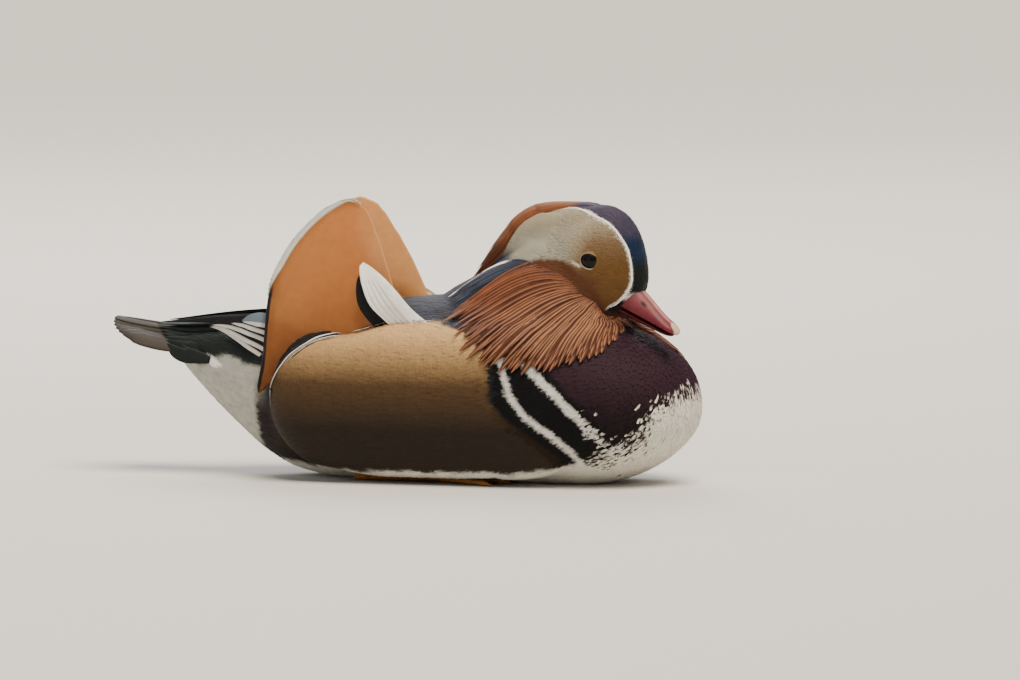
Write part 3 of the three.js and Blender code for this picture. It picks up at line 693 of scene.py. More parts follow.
class Tint(Enum):
    """The colours of the plumage and bill."""

    SLATE = "#2f333f"
    RUMP = "#0c1512"
    MAROON = "#2a1620"
    MAROON_DEEP = "#100709"
    GOLD = "#c8a06b"
    # Painted shade on the golden side feathers, deepest low down; the deepest one also colours the dark lines along
    # their edge
    GOLD_SHADE = "#4f381e"
    GOLD_SHADE_AND_DARK_LINES = "#1e1306"
    BAR_BLACK = "#040405"
    BAR_WHITE = "#d2cfc8"
    BELLY = "#d8d3c6"
    UNDERTAIL = "#aaa99f"
    RUFOUS = "#804626"
    RUFOUS_DEEP = "#36180b"
    SHAFT = "#c89a74"
    CREAM = "#a2957b"
    # painted shade on the cream face
    CREAM_SHADE = "#938e80"
    OCHRE = "#67471f"
    TAN = "#796043"
    CHEEK = "#553018"
    EDGE_WHITE = "#fbf6ee"
    LORE = "#0d0706"
    BILL_GREEN = "#05120d"
    BROW_BLUE = "#0a2340"
    BROW_PURPLE = "#3e364b"
    COPPER = "#7e4826"
    COPPER_DEEP = "#6a3a20"
    NAPE = "#272b3c"
    SAIL = "#ac6830"
    SAIL_PALE = "#bd8452"
    # painted light shining through the sail
    SAIL_LIT_THROUGH = "#f0a066"
    SAIL_DEEP = "#552c14"
    FRINGE = "#fbf1d8"
    INK = "#07080d"
    TAIL = "#3b342b"
    TAIL_DARK = "#2b261f"
    WING_GREY = "#6a7783"
    BILL = "#651521"
    # painted highlight along the bill's ridge
    BILL_HIGHLIGHT = "#e2a49c"
    NAIL = "#d0b493"

    def paint(self) -> Array:
        """Its linear colour."""
        return linear(self.value)


def blend(base: Array | Tint, *layers: tuple[Tint, Array]) -> Array:
    """Lays shares of tints over colours, one after another.

    Args:
        base: the colour of each point, or one tint for all of them.
        layers: tints with their shares at each point.

    Returns:
        the linear colour of each point.
    """
    colour = np.tile(base.paint(), (len(layers[0][1]), 1)) if isinstance(base, Tint) else base
    for tint, share in layers:
        colour = colour + (tint.paint() - colour) * share[:, None]
    return colour


def plain(tint: Tint, points: Array) -> Array:
    """One colour for all points."""
    return np.tile(tint.paint(), (len(points), 1))


@dataclass(frozen=True)
class Markings:
    """Where each colour of the body and head plumage lies, read off in side view."""

    flank: Knots = (
        (-39, 79), (-24.5, 80), (-13, 84.5), (-3, 87), (25, 88), (37, 85), (50, 80), (57, 72),
        (57.8, 61), (59.2, 49), (65.3, 40), (74.6, 33), (83, 28), (95, 18), (99, 8), (-50, 6),
        (-67, 14), (-70.8, 22), (-68.5, 43), (-66.4, 54), (-60.9, 65), (-53, 73),
    )
    bars: Knots = (
        (56, 92), (57.8, 67), (57.8, 61), (59.2, 49), (65.3, 40), (74.6, 33), (83, 28), (95, 18),
        (101, 6), (140, 6), (132, 20), (121, 33), (104, 49), (86, 67), (74, 92),
    )
    rear_bar: Knots = ((58, 86), (65.3, 66.2), (70.9, 48.6), (80, 38), (92.1, 29.3), (103, 19), (110, 8))
    front_bar: Knots = ((70, 84), (77.9, 67.5), (96.8, 48.9), (113.6, 31.8), (124, 21), (130, 10))
    rear_bar_half: float = 1.6
    front_bar_half: float = 2.1
    belly_top: Knots = ((-78, 10), (-40, 7), (60, 7), (100, 12), (128, 20), (139, 28), (150, 47), (161, 51))
    rump_edge: Knots = ((-134, 66), (-113, 60.5), (-99.5, 65), (-88, 63), (-74.6, 61), (-60, 66))
    ruff_ground: Knots = (
        (74, 117), (34, 88), (46, 75), (62, 68), (77, 67), (90, 69), (103, 73), (112, 78), (118, 91), (100, 104),
    )
    neckline: Knots = ((20, 104), (45, 108), (60, 112), (80, 104), (100, 97), (116, 92), (140, 86))
    crown_half: Knots = (
        (-60, 10.5), (-50, 11), (-43, 10), (-33, 7.5), (-24, 6.6), (-17.6, 7), (-8.6, 8.8), (-1.2, 9.1), (5.5, 9.4),
        (11, 9.5), (15, 9.1), (17.9, 8.5), (20.6, 7.9), (26, 7),
    )
    brow_edge: Knots = ((-60, -5), (-37.5, -1.5), (-28, 0.5), (-19, 0.4), (-11.6, -2), (-6, -7), (1, -14), (6, -26))
    face_line: Knots = (
        (-21, 7, 27.5), (-15, 7.5, 26.8), (-8.6, 9, 25.8), (-1.2, 9.2, 23.3), (5.5, 9.5, 20.8), (11, 9.6, 16.9),
        (15, 9.2, 11.9), (17.9, 8.5, 6.9), (19.5, 8.2, 1.8), (20.4, 8.1, -3.8), (20.6, 8, -9.4), (19.7, 8.3, -13.2),
        (17.6, 8.9, -16.9), (14.8, 9.6, -20.3), (11.3, 10.1, -23.2), (7.5, 10.2, -25.2),
    )
    face_front: Knots = ((-34, 0), (-27, 6), (-24, 9.5), (-21, 14), (-15, 19), (-8, 22), (4, 40))

    def on_head(self, points: Array) -> Array:
        """How much of each point belongs to the head, from 0 to 1."""
        return step(-2, 2, points[:, 2] - smooth(self.neckline)(points[:, 0]))

    def body(self, points: Array) -> tuple[Array, Array]:
        """The plumage of the body.

        Args:
            points: places on the bird.

        Returns:
            the colours and the strength of the fine bars at each point.
        """
        x, side, z = points[:, 0], np.abs(points[:, 1]), points[:, 2]
        flat = np.stack([x, z], axis=1)
        wave = ripple(points, 9, 3) * 1.1 + ripple(points, 3.2, 4) * 0.6
        under = step(1.5, -1.5, z - smooth(self.rump_edge)(x) + wave) * step(-70, -76, x)
        plume = ((x + 105.2) / 4.4) ** 2 + ((z - 61.8 + 0.3 * (x + 105.2)) / 3.0) ** 2
        behind_flank = step(-80, -77.5, x + wave) * step(-66, -68.5, x) * (1 - step(34, 66, z))
        breast = step(66, 82, x)
        in_flank = inside_distance(flat, self.flank)
        gold = step(-0.4, 0.8, in_flank) * (side > 16)
        high = z + wave * 0.6
        around = step(-5, -2.5, in_flank) * (1 - gold) * (side > 16) * step(-34, -40, x) * step(48, 58, z)
        bar = step(-1.0, 0.4, inside_distance(flat, self.bars) + wave * 0.4) * (side > 10)
        lines = []
        for corners, half in ((self.rear_bar, self.rear_bar_half), (self.front_bar, self.front_bar_half)):
            away = line_distance(flat, corners) + wave * 0.3
            lines.append((Tint.BAR_WHITE, step(half + 0.4, half - 0.4, away) * (side > 12)))
        fleck = ripple(points, 4.5, 8) * 6 * step(95, 125, x)
        belly = step(1.2, -1.2, z - smooth(self.belly_top)(x) + wave + fleck) * (1 - step(-74, -78, x))
        neck = step(22, 30, x) * step(124, 116, x) * step(86, 92, z)
        level = np.where(points[:, 1] > 0, 31 + (x - 42) * 0.89, x)  # the left ruff hangs further forwards
        ground = step(1, 5, inside_distance(np.stack([level, z], axis=1), self.ruff_ground))
        nape = neck * step(2, -2, x - 62) * step(-1, 2, z - mix(88, 116, np.clip((x - 25) / 45, 0, 1)))
        colour = blend(
            Tint.SLATE,
            (Tint.INK, step(0.55, 1.0, ripple(points, 26, 5)) * 0.5),
            (Tint.RUMP, step(-36, -58, x)),
            (Tint.UNDERTAIL, under),
            (Tint.EDGE_WHITE, step(1.3, 0.7, plume + wave * 0.3)),
            (Tint.MAROON_DEEP, behind_flank),
            # Painted shade: the breast is painted darker towards the bottom
            (Tint.MAROON_DEEP, breast),
            (Tint.MAROON, breast * step(26, 62, z)),
            # Painted shade: the golden side feathers, one golden buff all over, are painted darker towards the bottom
            (Tint.GOLD_SHADE_AND_DARK_LINES, gold),
            (Tint.GOLD_SHADE, gold * np.clip((high - 30) / 26, 0, 1)),
            (Tint.GOLD, gold * np.clip((high - 54) / 27, 0, 1) ** 1.15),
            (Tint.INK, around),
            (Tint.BAR_BLACK, bar),
            *lines,
            (Tint.BELLY, belly),
            (Tint.RUFOUS_DEEP, neck),
            (Tint.RUFOUS_DEEP, ground),
            (Tint.NAPE, nape),
        )
        return colour, gold * (1 - belly) * (1 - bar)

    def head(self, points: Array) -> Array:
        """The plumage of the head.

        Args:
            points: places on the bird.

        Returns:
            the colour at each point.
        """
        a, b, c = HEAD.from_bird(points).T
        wave = ripple(points, 4, 11)
        ahead = step(-17, 1, a + 0.35 * (6 - c)) * step(25, 8, c)
        below = c - smooth(self.brow_edge)(a)
        streak = ((a + 7.8) / 2.8) ** 2 + ((c + 1.9 + 0.5 * (a + 7.8)) / 0.9) ** 2
        crown = smooth(self.crown_half)(a) - np.abs(b)
        front = a - smooth(self.face_front)(c)
        edge = np.maximum(crown, np.where(c < 0, front, -9.0))
        width = mix(0.8, 0.5, step(4, 18, a))
        face = blend(
            Tint.CREAM,
            # Painted shade: the cream greyed a little all over, and most behind the eye and low down
            (Tint.CREAM_SHADE, 0.75 * step(-6, -20, a) * step(24, 4, c) + 0.2),
            (Tint.TAN, ahead),
            (Tint.OCHRE, ahead * step(14, -4, c) * step(-14, 2, a)),
            (Tint.CHEEK, step(1.4, -1.4, below + wave * 0.5) * step(-2, -9, a)),
            (Tint.CHEEK, step(9, -5, below + wave * 0.6) * 0.9 * step(-12, -4, a) * step(23, 8, a)),
            (Tint.CHEEK, step(-3, -11, c) * step(12, 0, a) * step(-14, -6, a) * 0.5),
            (Tint.RUFOUS, step(-5, -12, below + wave * 0.8) * step(6, -3, a) * 0.45),
            (Tint.FRINGE, step(1.5, 0.4, streak) * 0.6),
            (Tint.EDGE_WHITE, step(-width - 0.35, -width + 0.05, edge) * step(-26, -20, a) * step(-27, -24, c)),
        )
        brow = blend(
            Tint.BROW_PURPLE,
            (Tint.BROW_BLUE, step(17, 9, c) * step(2, 10, a)),
            (Tint.BILL_GREEN, step(4, -5, c) * step(6, 14, a)),
            (Tint.COPPER, step(-12, -22, a + wave * 2)),
        )
        return blend(
            mix(face, brow, (step(-0.3, 0.3, crown) * step(-20, -16, c))[:, None]),
            (Tint.MAROON_DEEP, step(-22, -27, c) * step(13, 20, a)),
            (Tint.LORE, step(-0.5, 0.5, front) * step(-19, -22, c) * step(-31, -27, c)),
            (Tint.RUFOUS_DEEP, step(-26, -30, c) * step(22, 14, a)),
            (Tint.NAPE, step(-46, -52, a) * step(6, -2, c)),
        )

    def colours(self, points: Array) -> Array:
        """The whole plumage.

        Args:
            points: places on the bird.

        Returns:
            RGBA at each point, whose alpha is the strength of the fine bars.
        """
        body, bars = self.body(points)
        share = self.on_head(points)[:, None]
        return np.concatenate([mix(body, self.head(points), share), bars[:, None] * (1 - share)], axis=1)


MARKINGS = Markings()


def bake_place(points: Array) -> Array:
    """Where places of the bird lie on the unwrap of the skin: one tube for the body, one for the head.

    Args:
        points: the places.

    Returns:
        the place of each on the unwrap.
    """
    charts = []
    for (x, y, z), (left, right), (start, length), centre in (
        (points.T, (0.02, 0.66), (-140, 305), 50),
        (HEAD.from_bird(points).T, (0.70, 0.98), (-60, 90), -2),
    ):
        turn = np.arctan2(y, z - centre) / (2 * math.pi) + 0.5
        charts.append(np.stack([mix(left, right, (x - start) / length), mix(0.02, 0.98, turn)], axis=1))
    on_head = MARKINGS.on_head(points)[:, None] > 0.5
    return np.clip(np.where(on_head, charts[1], charts[0]), 0.005, 0.995)


# Skin


@dataclass
class Skin:
    """The one bare skin under all the feathers, from the rump to the bill."""

    body_depth: float = 0.8  # of the coat over it
    head_depth: float = 0.6
    voxel: float = 1.6
    relax: int = 14
    hollow_top: float = 8.6  # of the hollows that the folded feet lie in
    lowest: float = 0.4
    seam_gap: float = 0.05  # on the unwrap, between a corner and its face's middle, where a seam lies between
    thing: Thing = field(init=False)
    tree: BVHTree = field(init=False)
    points: Array = field(init=False)
    normals: Array = field(init=False)
    triangles: Array = field(init=False)

    def forms(self) -> list[Surface]:
        """The overlapping forms that the skin is fused from.

        Returns:
            the trunk, the golden side feathers that stand proud of it, the neck, the skull, and the low rise on
            crown and nape that carries the crest.
        """
        trunk = Loft(
            rear=-134, front=161, rear_cap=14, front_cap=58, rear_z=71, front_z=41,
            cap_power=2.15, power=2.25,
            half_width=((-134, 14), (-100, 26), (-75, 35), (-45, 43), (0, 50), (60, 53), (110, 52.5), (161, 48)),
            top=(
                (-134, 78), (-100, 81), (-70, 86), (-40, 93), (0, 98), (25, 100), (60, 98), (90, 92), (120, 87),
                (161, 84),
            ),
            bottom=(
                (-134, 63), (-119, 49.5), (-111, 41), (-94, 25), (-78, 12), (-60, 3), (-35, -1), (95, -1.5),
                (125, 1), (161, 8),
            ),
            widest=((-134, 71), (-90, 60), (-50, 50), (0, 46), (60, 44), (161, 41)),
        )
        lobes = [
            Loft(
                rear=-70, front=116, rear_cap=26, front_cap=52, rear_z=46, front_z=44, cap_power=2.4,
                middle=((-70, side * 32), (-30, side * 37), (20, side * 39), (80, side * 38.5), (116, side * 32)),
                half_width=((-70, 17), (-20, 17.5), (80, 17.5), (116, 17)),
                top=((-70, 66), (-48, 75), (-20, 81), (5, 87.5), (35, 88), (80, 84), (116, 78)),
                bottom=((-70, 18), (-40, 8), (0, 3), (116, 3)),
                widest=((-70, 44), (0, 46), (116, 44)),
            )
            for side in SIDES.values()
        ]
        skull = Loft(
            rear=-54, front=26, rear_cap=20, front_cap=20, rear_z=-6, front_z=-9, cap_power=2, power=2.05,
            half_width=((-54, 14), (-30, 18), (-14, 19.6), (0, 17.7), (12, 15.6), (26, 11.5)),
            top=((-54, 16), (-36, 21), (-20, 26), (-6, 29), (6, 28), (15, 26.5), (21, 25), (26, 14)),
            bottom=((-54, -24), (-30, -30), (-5, -32), (10, -31), (26, -27)),
            widest=((-54, -8), (26, -8)),
        )
        crown = Loft(
            rear=-47, front=6, rear_cap=16, front_cap=14, rear_z=17, front_z=28.5,
            half_width=((-47, 11.5), (-15, 13), (6, 8)),
            top=((-47, 22.5), (-41, 25.4), (-29, 28), (-12, 29.6), (6, 29.4)),
            bottom=((-47, 2), (-30, 12), (-12, 20), (6, 25)),
            widest=((-47, 10), (6, 26.5)),
        )
        body = [trunk.surface(120, 96, self.body_depth), *(lobe.surface(90, 64, self.body_depth) for lobe in lobes)]
        head = [skull.surface(70, 72, self.head_depth), crown.surface(40, 48, self.head_depth)]
        return [*body, self.neck(), *(form.moved(HEAD.to_bird) for form in head)]

    def neck(self) -> Surface:
        """The neck, in level sections that lean forwards as they rise.

        Returns:
            its surface.
        """
        rear = smooth(((55, 22), (88, 14), (100, 19), (108, 32), (116, 46), (128, 62)))
        fore = smooth(((55, 128), (75, 127), (88, 122), (97, 118), (128, 116)))
        half = smooth(((55, 46), (75, 40), (88, 34), (100, 27), (112, 22), (128, 17)))
        z = np.linspace(55, 128, 40)[:, None]
        angle = np.linspace(0, 2 * np.pi, 64, endpoint=False)[None, :]
        back, front = rear(z) + self.body_depth, fore(z) - self.body_depth
        x = mix(back, front, 0.5 + 0.5 * np.cos(angle))
        y = (half(z) - self.body_depth) * np.sin(angle)
        return over_rings(np.stack([x, y, np.broadcast_to(z, x.shape)], axis=-1))

    def foot_room(self, points: Array) -> Array:
        """The least height of the belly over the hollows for the folded feet.

        Args:
            points: places on the belly.

        Returns:
            the height at each.
        """
        outline = ((-30, 20), (-30, 32), (14, 32), (59, 42), (65, 27), (57, 10), (0, 10))
        depth = inside_distance(np.stack([points[:, 0], np.abs(points[:, 1])], axis=1), outline)
        return self.hollow_top * step(-3.0, 0.5, depth)

    def build(self, finish: Feathers) -> None:
        """Fuses the forms into one skin and keeps its points for the coat.

        Args:
            finish: what it is made of.
        """
        self.thing = plain_mesh("skin", join_surfaces(self.forms()))
        fuse = {"mode": "VOXEL", "voxel_size": self.voxel / 1000}
        settle(self.thing, REMESH=fuse, SMOOTH={"factor": 0.5, "iterations": self.relax})
        mesh = self.thing.data
        points = fetched(mesh.vertices, "co", 3) * 1000 - [SHIFT_X, 0, 0]
        points[:, 2] = np.maximum(points[:, 2], np.maximum(self.lowest, self.foot_room(points)))
        mesh.vertices.foreach_set("co", to_row(points).ravel())
        mesh.update()
        mesh.calc_loop_triangles()
        self.points, self.normals = points, fetched(mesh.vertices, "normal", 3)
        self.triangles = fetched(mesh.loop_triangles, "vertices", 3, np.int32)
        self.tree = BVHTree.FromPolygons(points.tolist(), self.triangles.tolist())
        corners = fetched(mesh.loops, "vertex_index", 1, np.int32)[:, 0]
        sizes = fetched(mesh.polygons, "loop_total", 1, np.int32)[:, 0]
        owner = np.repeat(np.arange(len(sizes)), sizes)
        starts = np.concatenate([[0], np.cumsum(sizes)[:-1]])
        centres = np.add.reduceat(points[corners], starts) / sizes[:, None]
        middle, here = bake_place(centres)[owner], bake_place(points[corners])
        off_chart = np.abs(here - middle).max(axis=1) > self.seam_gap
        here[off_chart] = middle[off_chart]
        paint_mesh(mesh, MARKINGS.colours(points), {VANE: points[corners][:, [1, 0]], BAKE: here})
        finish_piece(self.thing, finish, "mantle_plumage", "torso", "breast", "neck", "head", "flank_r", "flank_l")

    def nearest(self, points: Array) -> tuple[Array, Array]:
        """The nearest places on the skin.

        Args:
            points: an array of points, of any shape.

        Returns:
            the places and the smooth normals there, in the same shape.
        """
        wanted = points.reshape(-1, 3)
        places, found = np.empty_like(wanted), np.empty(len(wanted), np.int64)
        for i, point in enumerate(wanted.tolist()):
            place, _, index, _ = self.tree.find_nearest(point)
            places[i], found[i] = place, index
        return places.reshape(points.shape), self.normal_at(places, found).reshape(points.shape)

    def normal_at(self, places: Array, found: Array) -> Array:
        """The normals of triangles, smoothed over their corners.

        Args:
            places: a place on each triangle.
            found: the triangles' numbers.

        Returns:
            the normal at each place.
        """
        corners = self.triangles[found]
        weight = 1 / (np.linalg.norm(self.points[corners] - places[:, None], axis=2) + 0.05)
        return unit((self.normals[corners] * weight[..., None]).sum(axis=1))

    def from_side(self, side: float, x: Array, z: Array) -> tuple[Array, Array]:
        """The outermost places of one side of the skin.

        Args:
            side: -1 for the right, 1 for the left.
            x: where the places lie along the bird.
            z: their heights.

        Returns:
            the places and their smooth normals.
        """
        places, found = np.empty((len(x), 3)), np.empty(len(x), np.int64)
        heading = Vector((0, -side, 0))
        for i, (px, pz) in enumerate(zip(x.tolist(), z.tolist())):
            place, _, index, _ = self.tree.ray_cast(Vector((px, side * 150, pz)), heading)
            if place is None:  # above or behind the skin, so near its middle plane
                place, _, index, _ = self.tree.find_nearest(Vector((px, side * 8, pz)))
            places[i], found[i] = place, index
        return places, self.normal_at(places, found)

    def cast(self, start: Array, way: Array) -> Array:
        """The first place on the skin from a point along a way, or the nearest one if there is none."""
        place = self.tree.ray_cast(Vector(start), Vector(way))[0]
        return np.array(place if place is not None else self.tree.find_nearest(Vector(start))[0])

    def scatter(self, spacing: float, rng: Random) -> tuple[Array, Array]:
        """Random places on the skin, about one to each cell of a grid.

        Args:
            spacing: about how far apart they are.
            rng: the source of chance.

        Returns:
            the places and their smooth normals.
        """
        corners = self.points[self.triangles]
        area = np.linalg.norm(np.cross(corners[:, 1] - corners[:, 0], corners[:, 2] - corners[:, 0]), axis=1)
        many = int(area.sum() / 2 / spacing**2 * 5)  # five to a cell, of which one is kept
        chosen = rng.choice(len(area), many, p=area / area.sum())
        u, v = rng.random((2, many))
        u, v = np.where(u + v > 1, 1 - u, u), np.where(u + v > 1, 1 - v, v)
        weights = np.stack([1 - u - v, u, v], axis=1)[..., None]
        places = (corners[chosen] * weights).sum(axis=1)
        _, first = np.unique(np.floor(places / (spacing * 1.22)).astype(np.int64), axis=0, return_index=True)
        places, chosen, weights = places[first], chosen[first], weights[first]
        return places, unit((self.normals[self.triangles[chosen]] * weights).sum(axis=1))


# Blades: the vanes, tufts and strands that all feathers are made of


@dataclass
class Blades:
    """A set of thin curved blades that ends up as one mesh."""

    name: str
    columns: int = 2
    lowest: float = 0.15  # clear of the floor
    points: list[Array] = field(default_factory=list)
    faces: list[Array] = field(default_factory=list)
    colours: list[Array] = field(default_factory=list)
    vanes: list[Array] = field(default_factory=list)
    bakes: list[Array] = field(default_factory=list)
    total: int = 0

    def add(
        self, spine: Array, out: Array, width: Array, colour: Paint, camber: float = 0.25, tone: Array | None = None
    ) -> None:
        """Adds blades that all have the same number of points along their spines.

        Args:
            spine: blades by points by three, from root to tip.
            out: the way each flat side faces at each of those points.
            width: blades by points, the full widths.
            colour: gives colours from the blades' points, their shares across (-1 to 1) and along.
            camber: how far the edges droop, as a share of the half width.
            tone: how much lighter or darker each blade is.
        """
        run = unit(np.gradient(spine, axis=1))
        across = unit(np.cross(run, out))
        face = np.cross(across, run)
        half = (width / 2)[..., None, None]
        s = np.linspace(-1, 1, self.columns + 1)[None, None, :, None]
        grid = spine[:, :, None] + across[:, :, None] * s * half - face[:, :, None] * camber * s * s * half
        shares, alongs = self.shares(grid)
        length = np.linalg.norm(np.diff(spine, axis=1), axis=2).sum(axis=1)
        vane = np.stack([shares * half[..., 0], alongs * length[:, None, None]], axis=-1)
        painted = colour(grid.reshape(-1, 3), shares.ravel(), alongs.ravel())
        if tone is not None:
            painted[:, :3] *= np.repeat(tone, grid[0, :, :, 0].size)[:, None]
        self.add_grids(grid, painted, vane, spine[:, 0])

    def shares(self, grid: Array) -> tuple[Array, Array]:
        """The share across, from -1 to 1, and along, from 0 to 1, of each point of the grids."""
        across, run = np.linspace(-1, 1, grid.shape[2]), np.linspace(0, 1, grid.shape[1])[None, :, None]
        return np.broadcast_to(across, grid.shape[:3]), np.broadcast_to(run, grid.shape[:3])

    def add_grids(self, grid: Array, colour: Array, vane: Array, roots: Array, patch: float = 0.003) -> None:
        """Adds blades given by their whole grids of points.

        Args:
            grid: blades by rows by columns by three.
            colour: RGB or RGBA of every point.
            vane: where each point lies on its blade, in millimetres.
            roots: the place of each blade on the bird.
            patch: the size of each blade's patch on the unwrap.
        """
        many, rows, wide = grid.shape[:3]
        r, k = np.meshgrid(np.arange(rows - 1), np.arange(wide - 1), indexing="ij")
        corner = (r * wide + k).ravel()
        quads = np.stack([corner, corner + wide, corner + wide + 1, corner + 1], axis=1)
        starts = self.total + np.arange(many)[:, None, None] * rows * wide
        shares, alongs = self.shares(grid)
        offset = np.stack([shares * patch / 2, (alongs - 0.5) * patch], axis=-1)
        if colour.shape[1] == 3:
            colour = np.concatenate([colour, np.zeros((len(colour), 1))], axis=1)
        self.points.append(grid.reshape(-1, 3))
        self.faces.append((quads[None] + starts).reshape(-1, 4))
        self.colours.append(colour)
        self.vanes.append(vane.reshape(-1, 2))
        self.bakes.append((bake_place(roots)[:, None, None] + offset).reshape(-1, 2))
        self.total += many * rows * wide

    def build(self, thickness: float = 0.0) -> Thing:
        """Makes the mesh with its markings and maps.

        Args:
            thickness: of the blades, or none for bare ones.

        Returns:
            the object.
        """
        points, faces = np.concatenate(self.points), np.concatenate(self.faces)
        points[:, 2] = np.maximum(points[:, 2], self.lowest)
        mesh = bpy.data.meshes.new(self.name)
        mesh.vertices.add(len(points))
        mesh.vertices.foreach_set("co", to_row(points).ravel())
        mesh.loops.add(faces.size)
        mesh.loops.foreach_set("vertex_index", faces.ravel().astype(np.int32))
        mesh.polygons.add(len(faces))
        mesh.polygons.foreach_set("loop_start", np.arange(0, faces.size, 4, dtype=np.int32))
        mesh.update(calc_edges=True)
        vane, bake = np.concatenate(self.vanes), np.clip(np.concatenate(self.bakes), 0.001, 0.999)
        colours = np.clip(np.concatenate(self.colours), 0, 1)
        paint_mesh(mesh, colours, {VANE: vane[faces.ravel()], BAKE: bake[faces.ravel()]})
        thing = linked(self.name, mesh)
        if thickness > 0:
            settle(thing, SOLIDIFY={"thickness": thickness / 1000, "offset": -1})
        return thing

    def finish(self, finish: Finish, slot: str, *nodes: str, thickness: float = 0.0) -> None:
        """Makes the mesh and finishes it as a piece."""
        finish_piece(self.build(thickness), finish, slot, *nodes)


class Tip(Enum):
    """How wide a feather is along its length, as shares of its greatest width."""

    ROUND = ((0, 0.45), (0.3, 0.95), (0.6, 1.0), (0.85, 0.8), (1, 0.3))
    POINTED = ((0, 0.5), (0.3, 1.0), (0.65, 0.75), (1, 0.06))
    STRAND = ((0, 0.7), (0.2, 1.0), (0.8, 0.8), (1, 0.1))
    HACKLE = ((0, 0.3), (0.3, 0.85), (0.6, 1.0), (0.86, 0.74), (1, 0.08))
    SLIM = ((0, 0.15), (0.4, 1.0), (0.75, 0.8), (1, 0.08))
    SPIRE = ((0, 1.0), (0.5, 0.95), (0.75, 0.75), (0.93, 0.4), (1, 0.05))
    WING = ((0, 0.9), (0.45, 1.0), (0.75, 0.72), (1, 0.15))
    BROAD = ((0, 0.5), (0.12, 0.9), (0.5, 1.0), (0.85, 0.92), (0.95, 0.72), (1, 0.4))

    def widths(self, rows: int) -> Array:
        """The shares at evenly spread points from root to tip."""
        return smooth(self.value)(np.linspace(0, 1, rows))


# Lie of the coat


@dataclass(frozen=True)
class Lie:
    """The way the feathers point, blended from guides set over the bird, each a place and a way."""

    body: Knots = (
        (162, 0, 45, -0.25, 0, -1), (150, 0, 75, 0.35, 0, -1), (140, 25, 70, -0.1, 0.5, -1),
        (130, 45, 50, -0.8, 0.3, -0.7), (120, 48, 25, -1, 0, -0.3), (140, 0, 10, -1, 0, 0),
        (100, 52, 60, -1, 0, -0.45), (60, 55, 60, -1, 0, -0.15), (20, 55, 70, -1, 0, 0.02), (20, 55, 30, -1, 0, 0),
        (-30, 50, 60, -1, 0, 0.1), (-60, 42, 50, -1, 0, 0.2), (0, 0, 100, -1, 0, 0), (-60, 0, 88, -1, 0, -0.1),
        (-110, 0, 80, -1, 0, 0), (-110, 15, 50, -1, 0, 0.6), (-80, 20, 15, -1, 0, 0.5), (0, 0, 0, -1, 0, 0),
        (125, 0, 85, 0.3, 0, -1), (100, 30, 88, -0.7, 0.2, -0.8), (60, 35, 95, -1, 0.1, -0.5),
        (30, 15, 100, -1, 0, -0.3),
    )
    head: Knots = (
        (25, 0, 0, -0.35, 0, 1), (20, 0, 18, -0.8, 0, 0.7), (5, 0, 28, -1, 0, 0.1), (-35, 0, 22, -1, 0, -0.4),
        (22, 9, -12, -0.6, 0.5, 0.5), (14, 14, -2, -1, 0.2, 0.35), (2, 15, 12, -1, 0, 0.35),
        (-14, 16, 14, -1, 0, 0.0), (4, 17, -12, -1, 0.1, -0.35), (-14, 19, 0, -1, 0, -0.12),
        (-38, 17, 5, -1, 0, -0.25), (-14, 19, -14, -0.9, 0, -0.55), (5, 14, -25, -0.55, 0.2, -1),
        (15, 0, -31, -0.5, 0, -0.9),
    )
    reach: float = 9.0  # how far a guide holds sway before the next one takes over

    def at(self, points: Array, normals: Array) -> Array:
        """The way the feathers point.

        Args:
            points: places on the skin.
            normals: the normals there.

        Returns:
            the unit direction along the skin at each place.
        """
        places, ways = [], []
        for guides, turn, move in ((self.body, np.eye(3), lambda p: p), (self.head, HEAD.turn().T, HEAD.to_bird)):
            for guide in guides:
                for side in SIDES.values():
                    flip = np.array([1, side, 1])
                    places.append(move((guide[:3] * flip)[None])[0])
                    ways.append((guide[3:] * flip) @ turn)
        gap = np.linalg.norm(points[:, None] - np.array(places)[None], axis=2)
        weight = 1 / (gap**2 + self.reach**2) ** 2
        way = weight @ unit(np.array(ways))
        return unit(way - (way * normals).sum(axis=1, keepdims=True) * normals)


LIE = Lie()


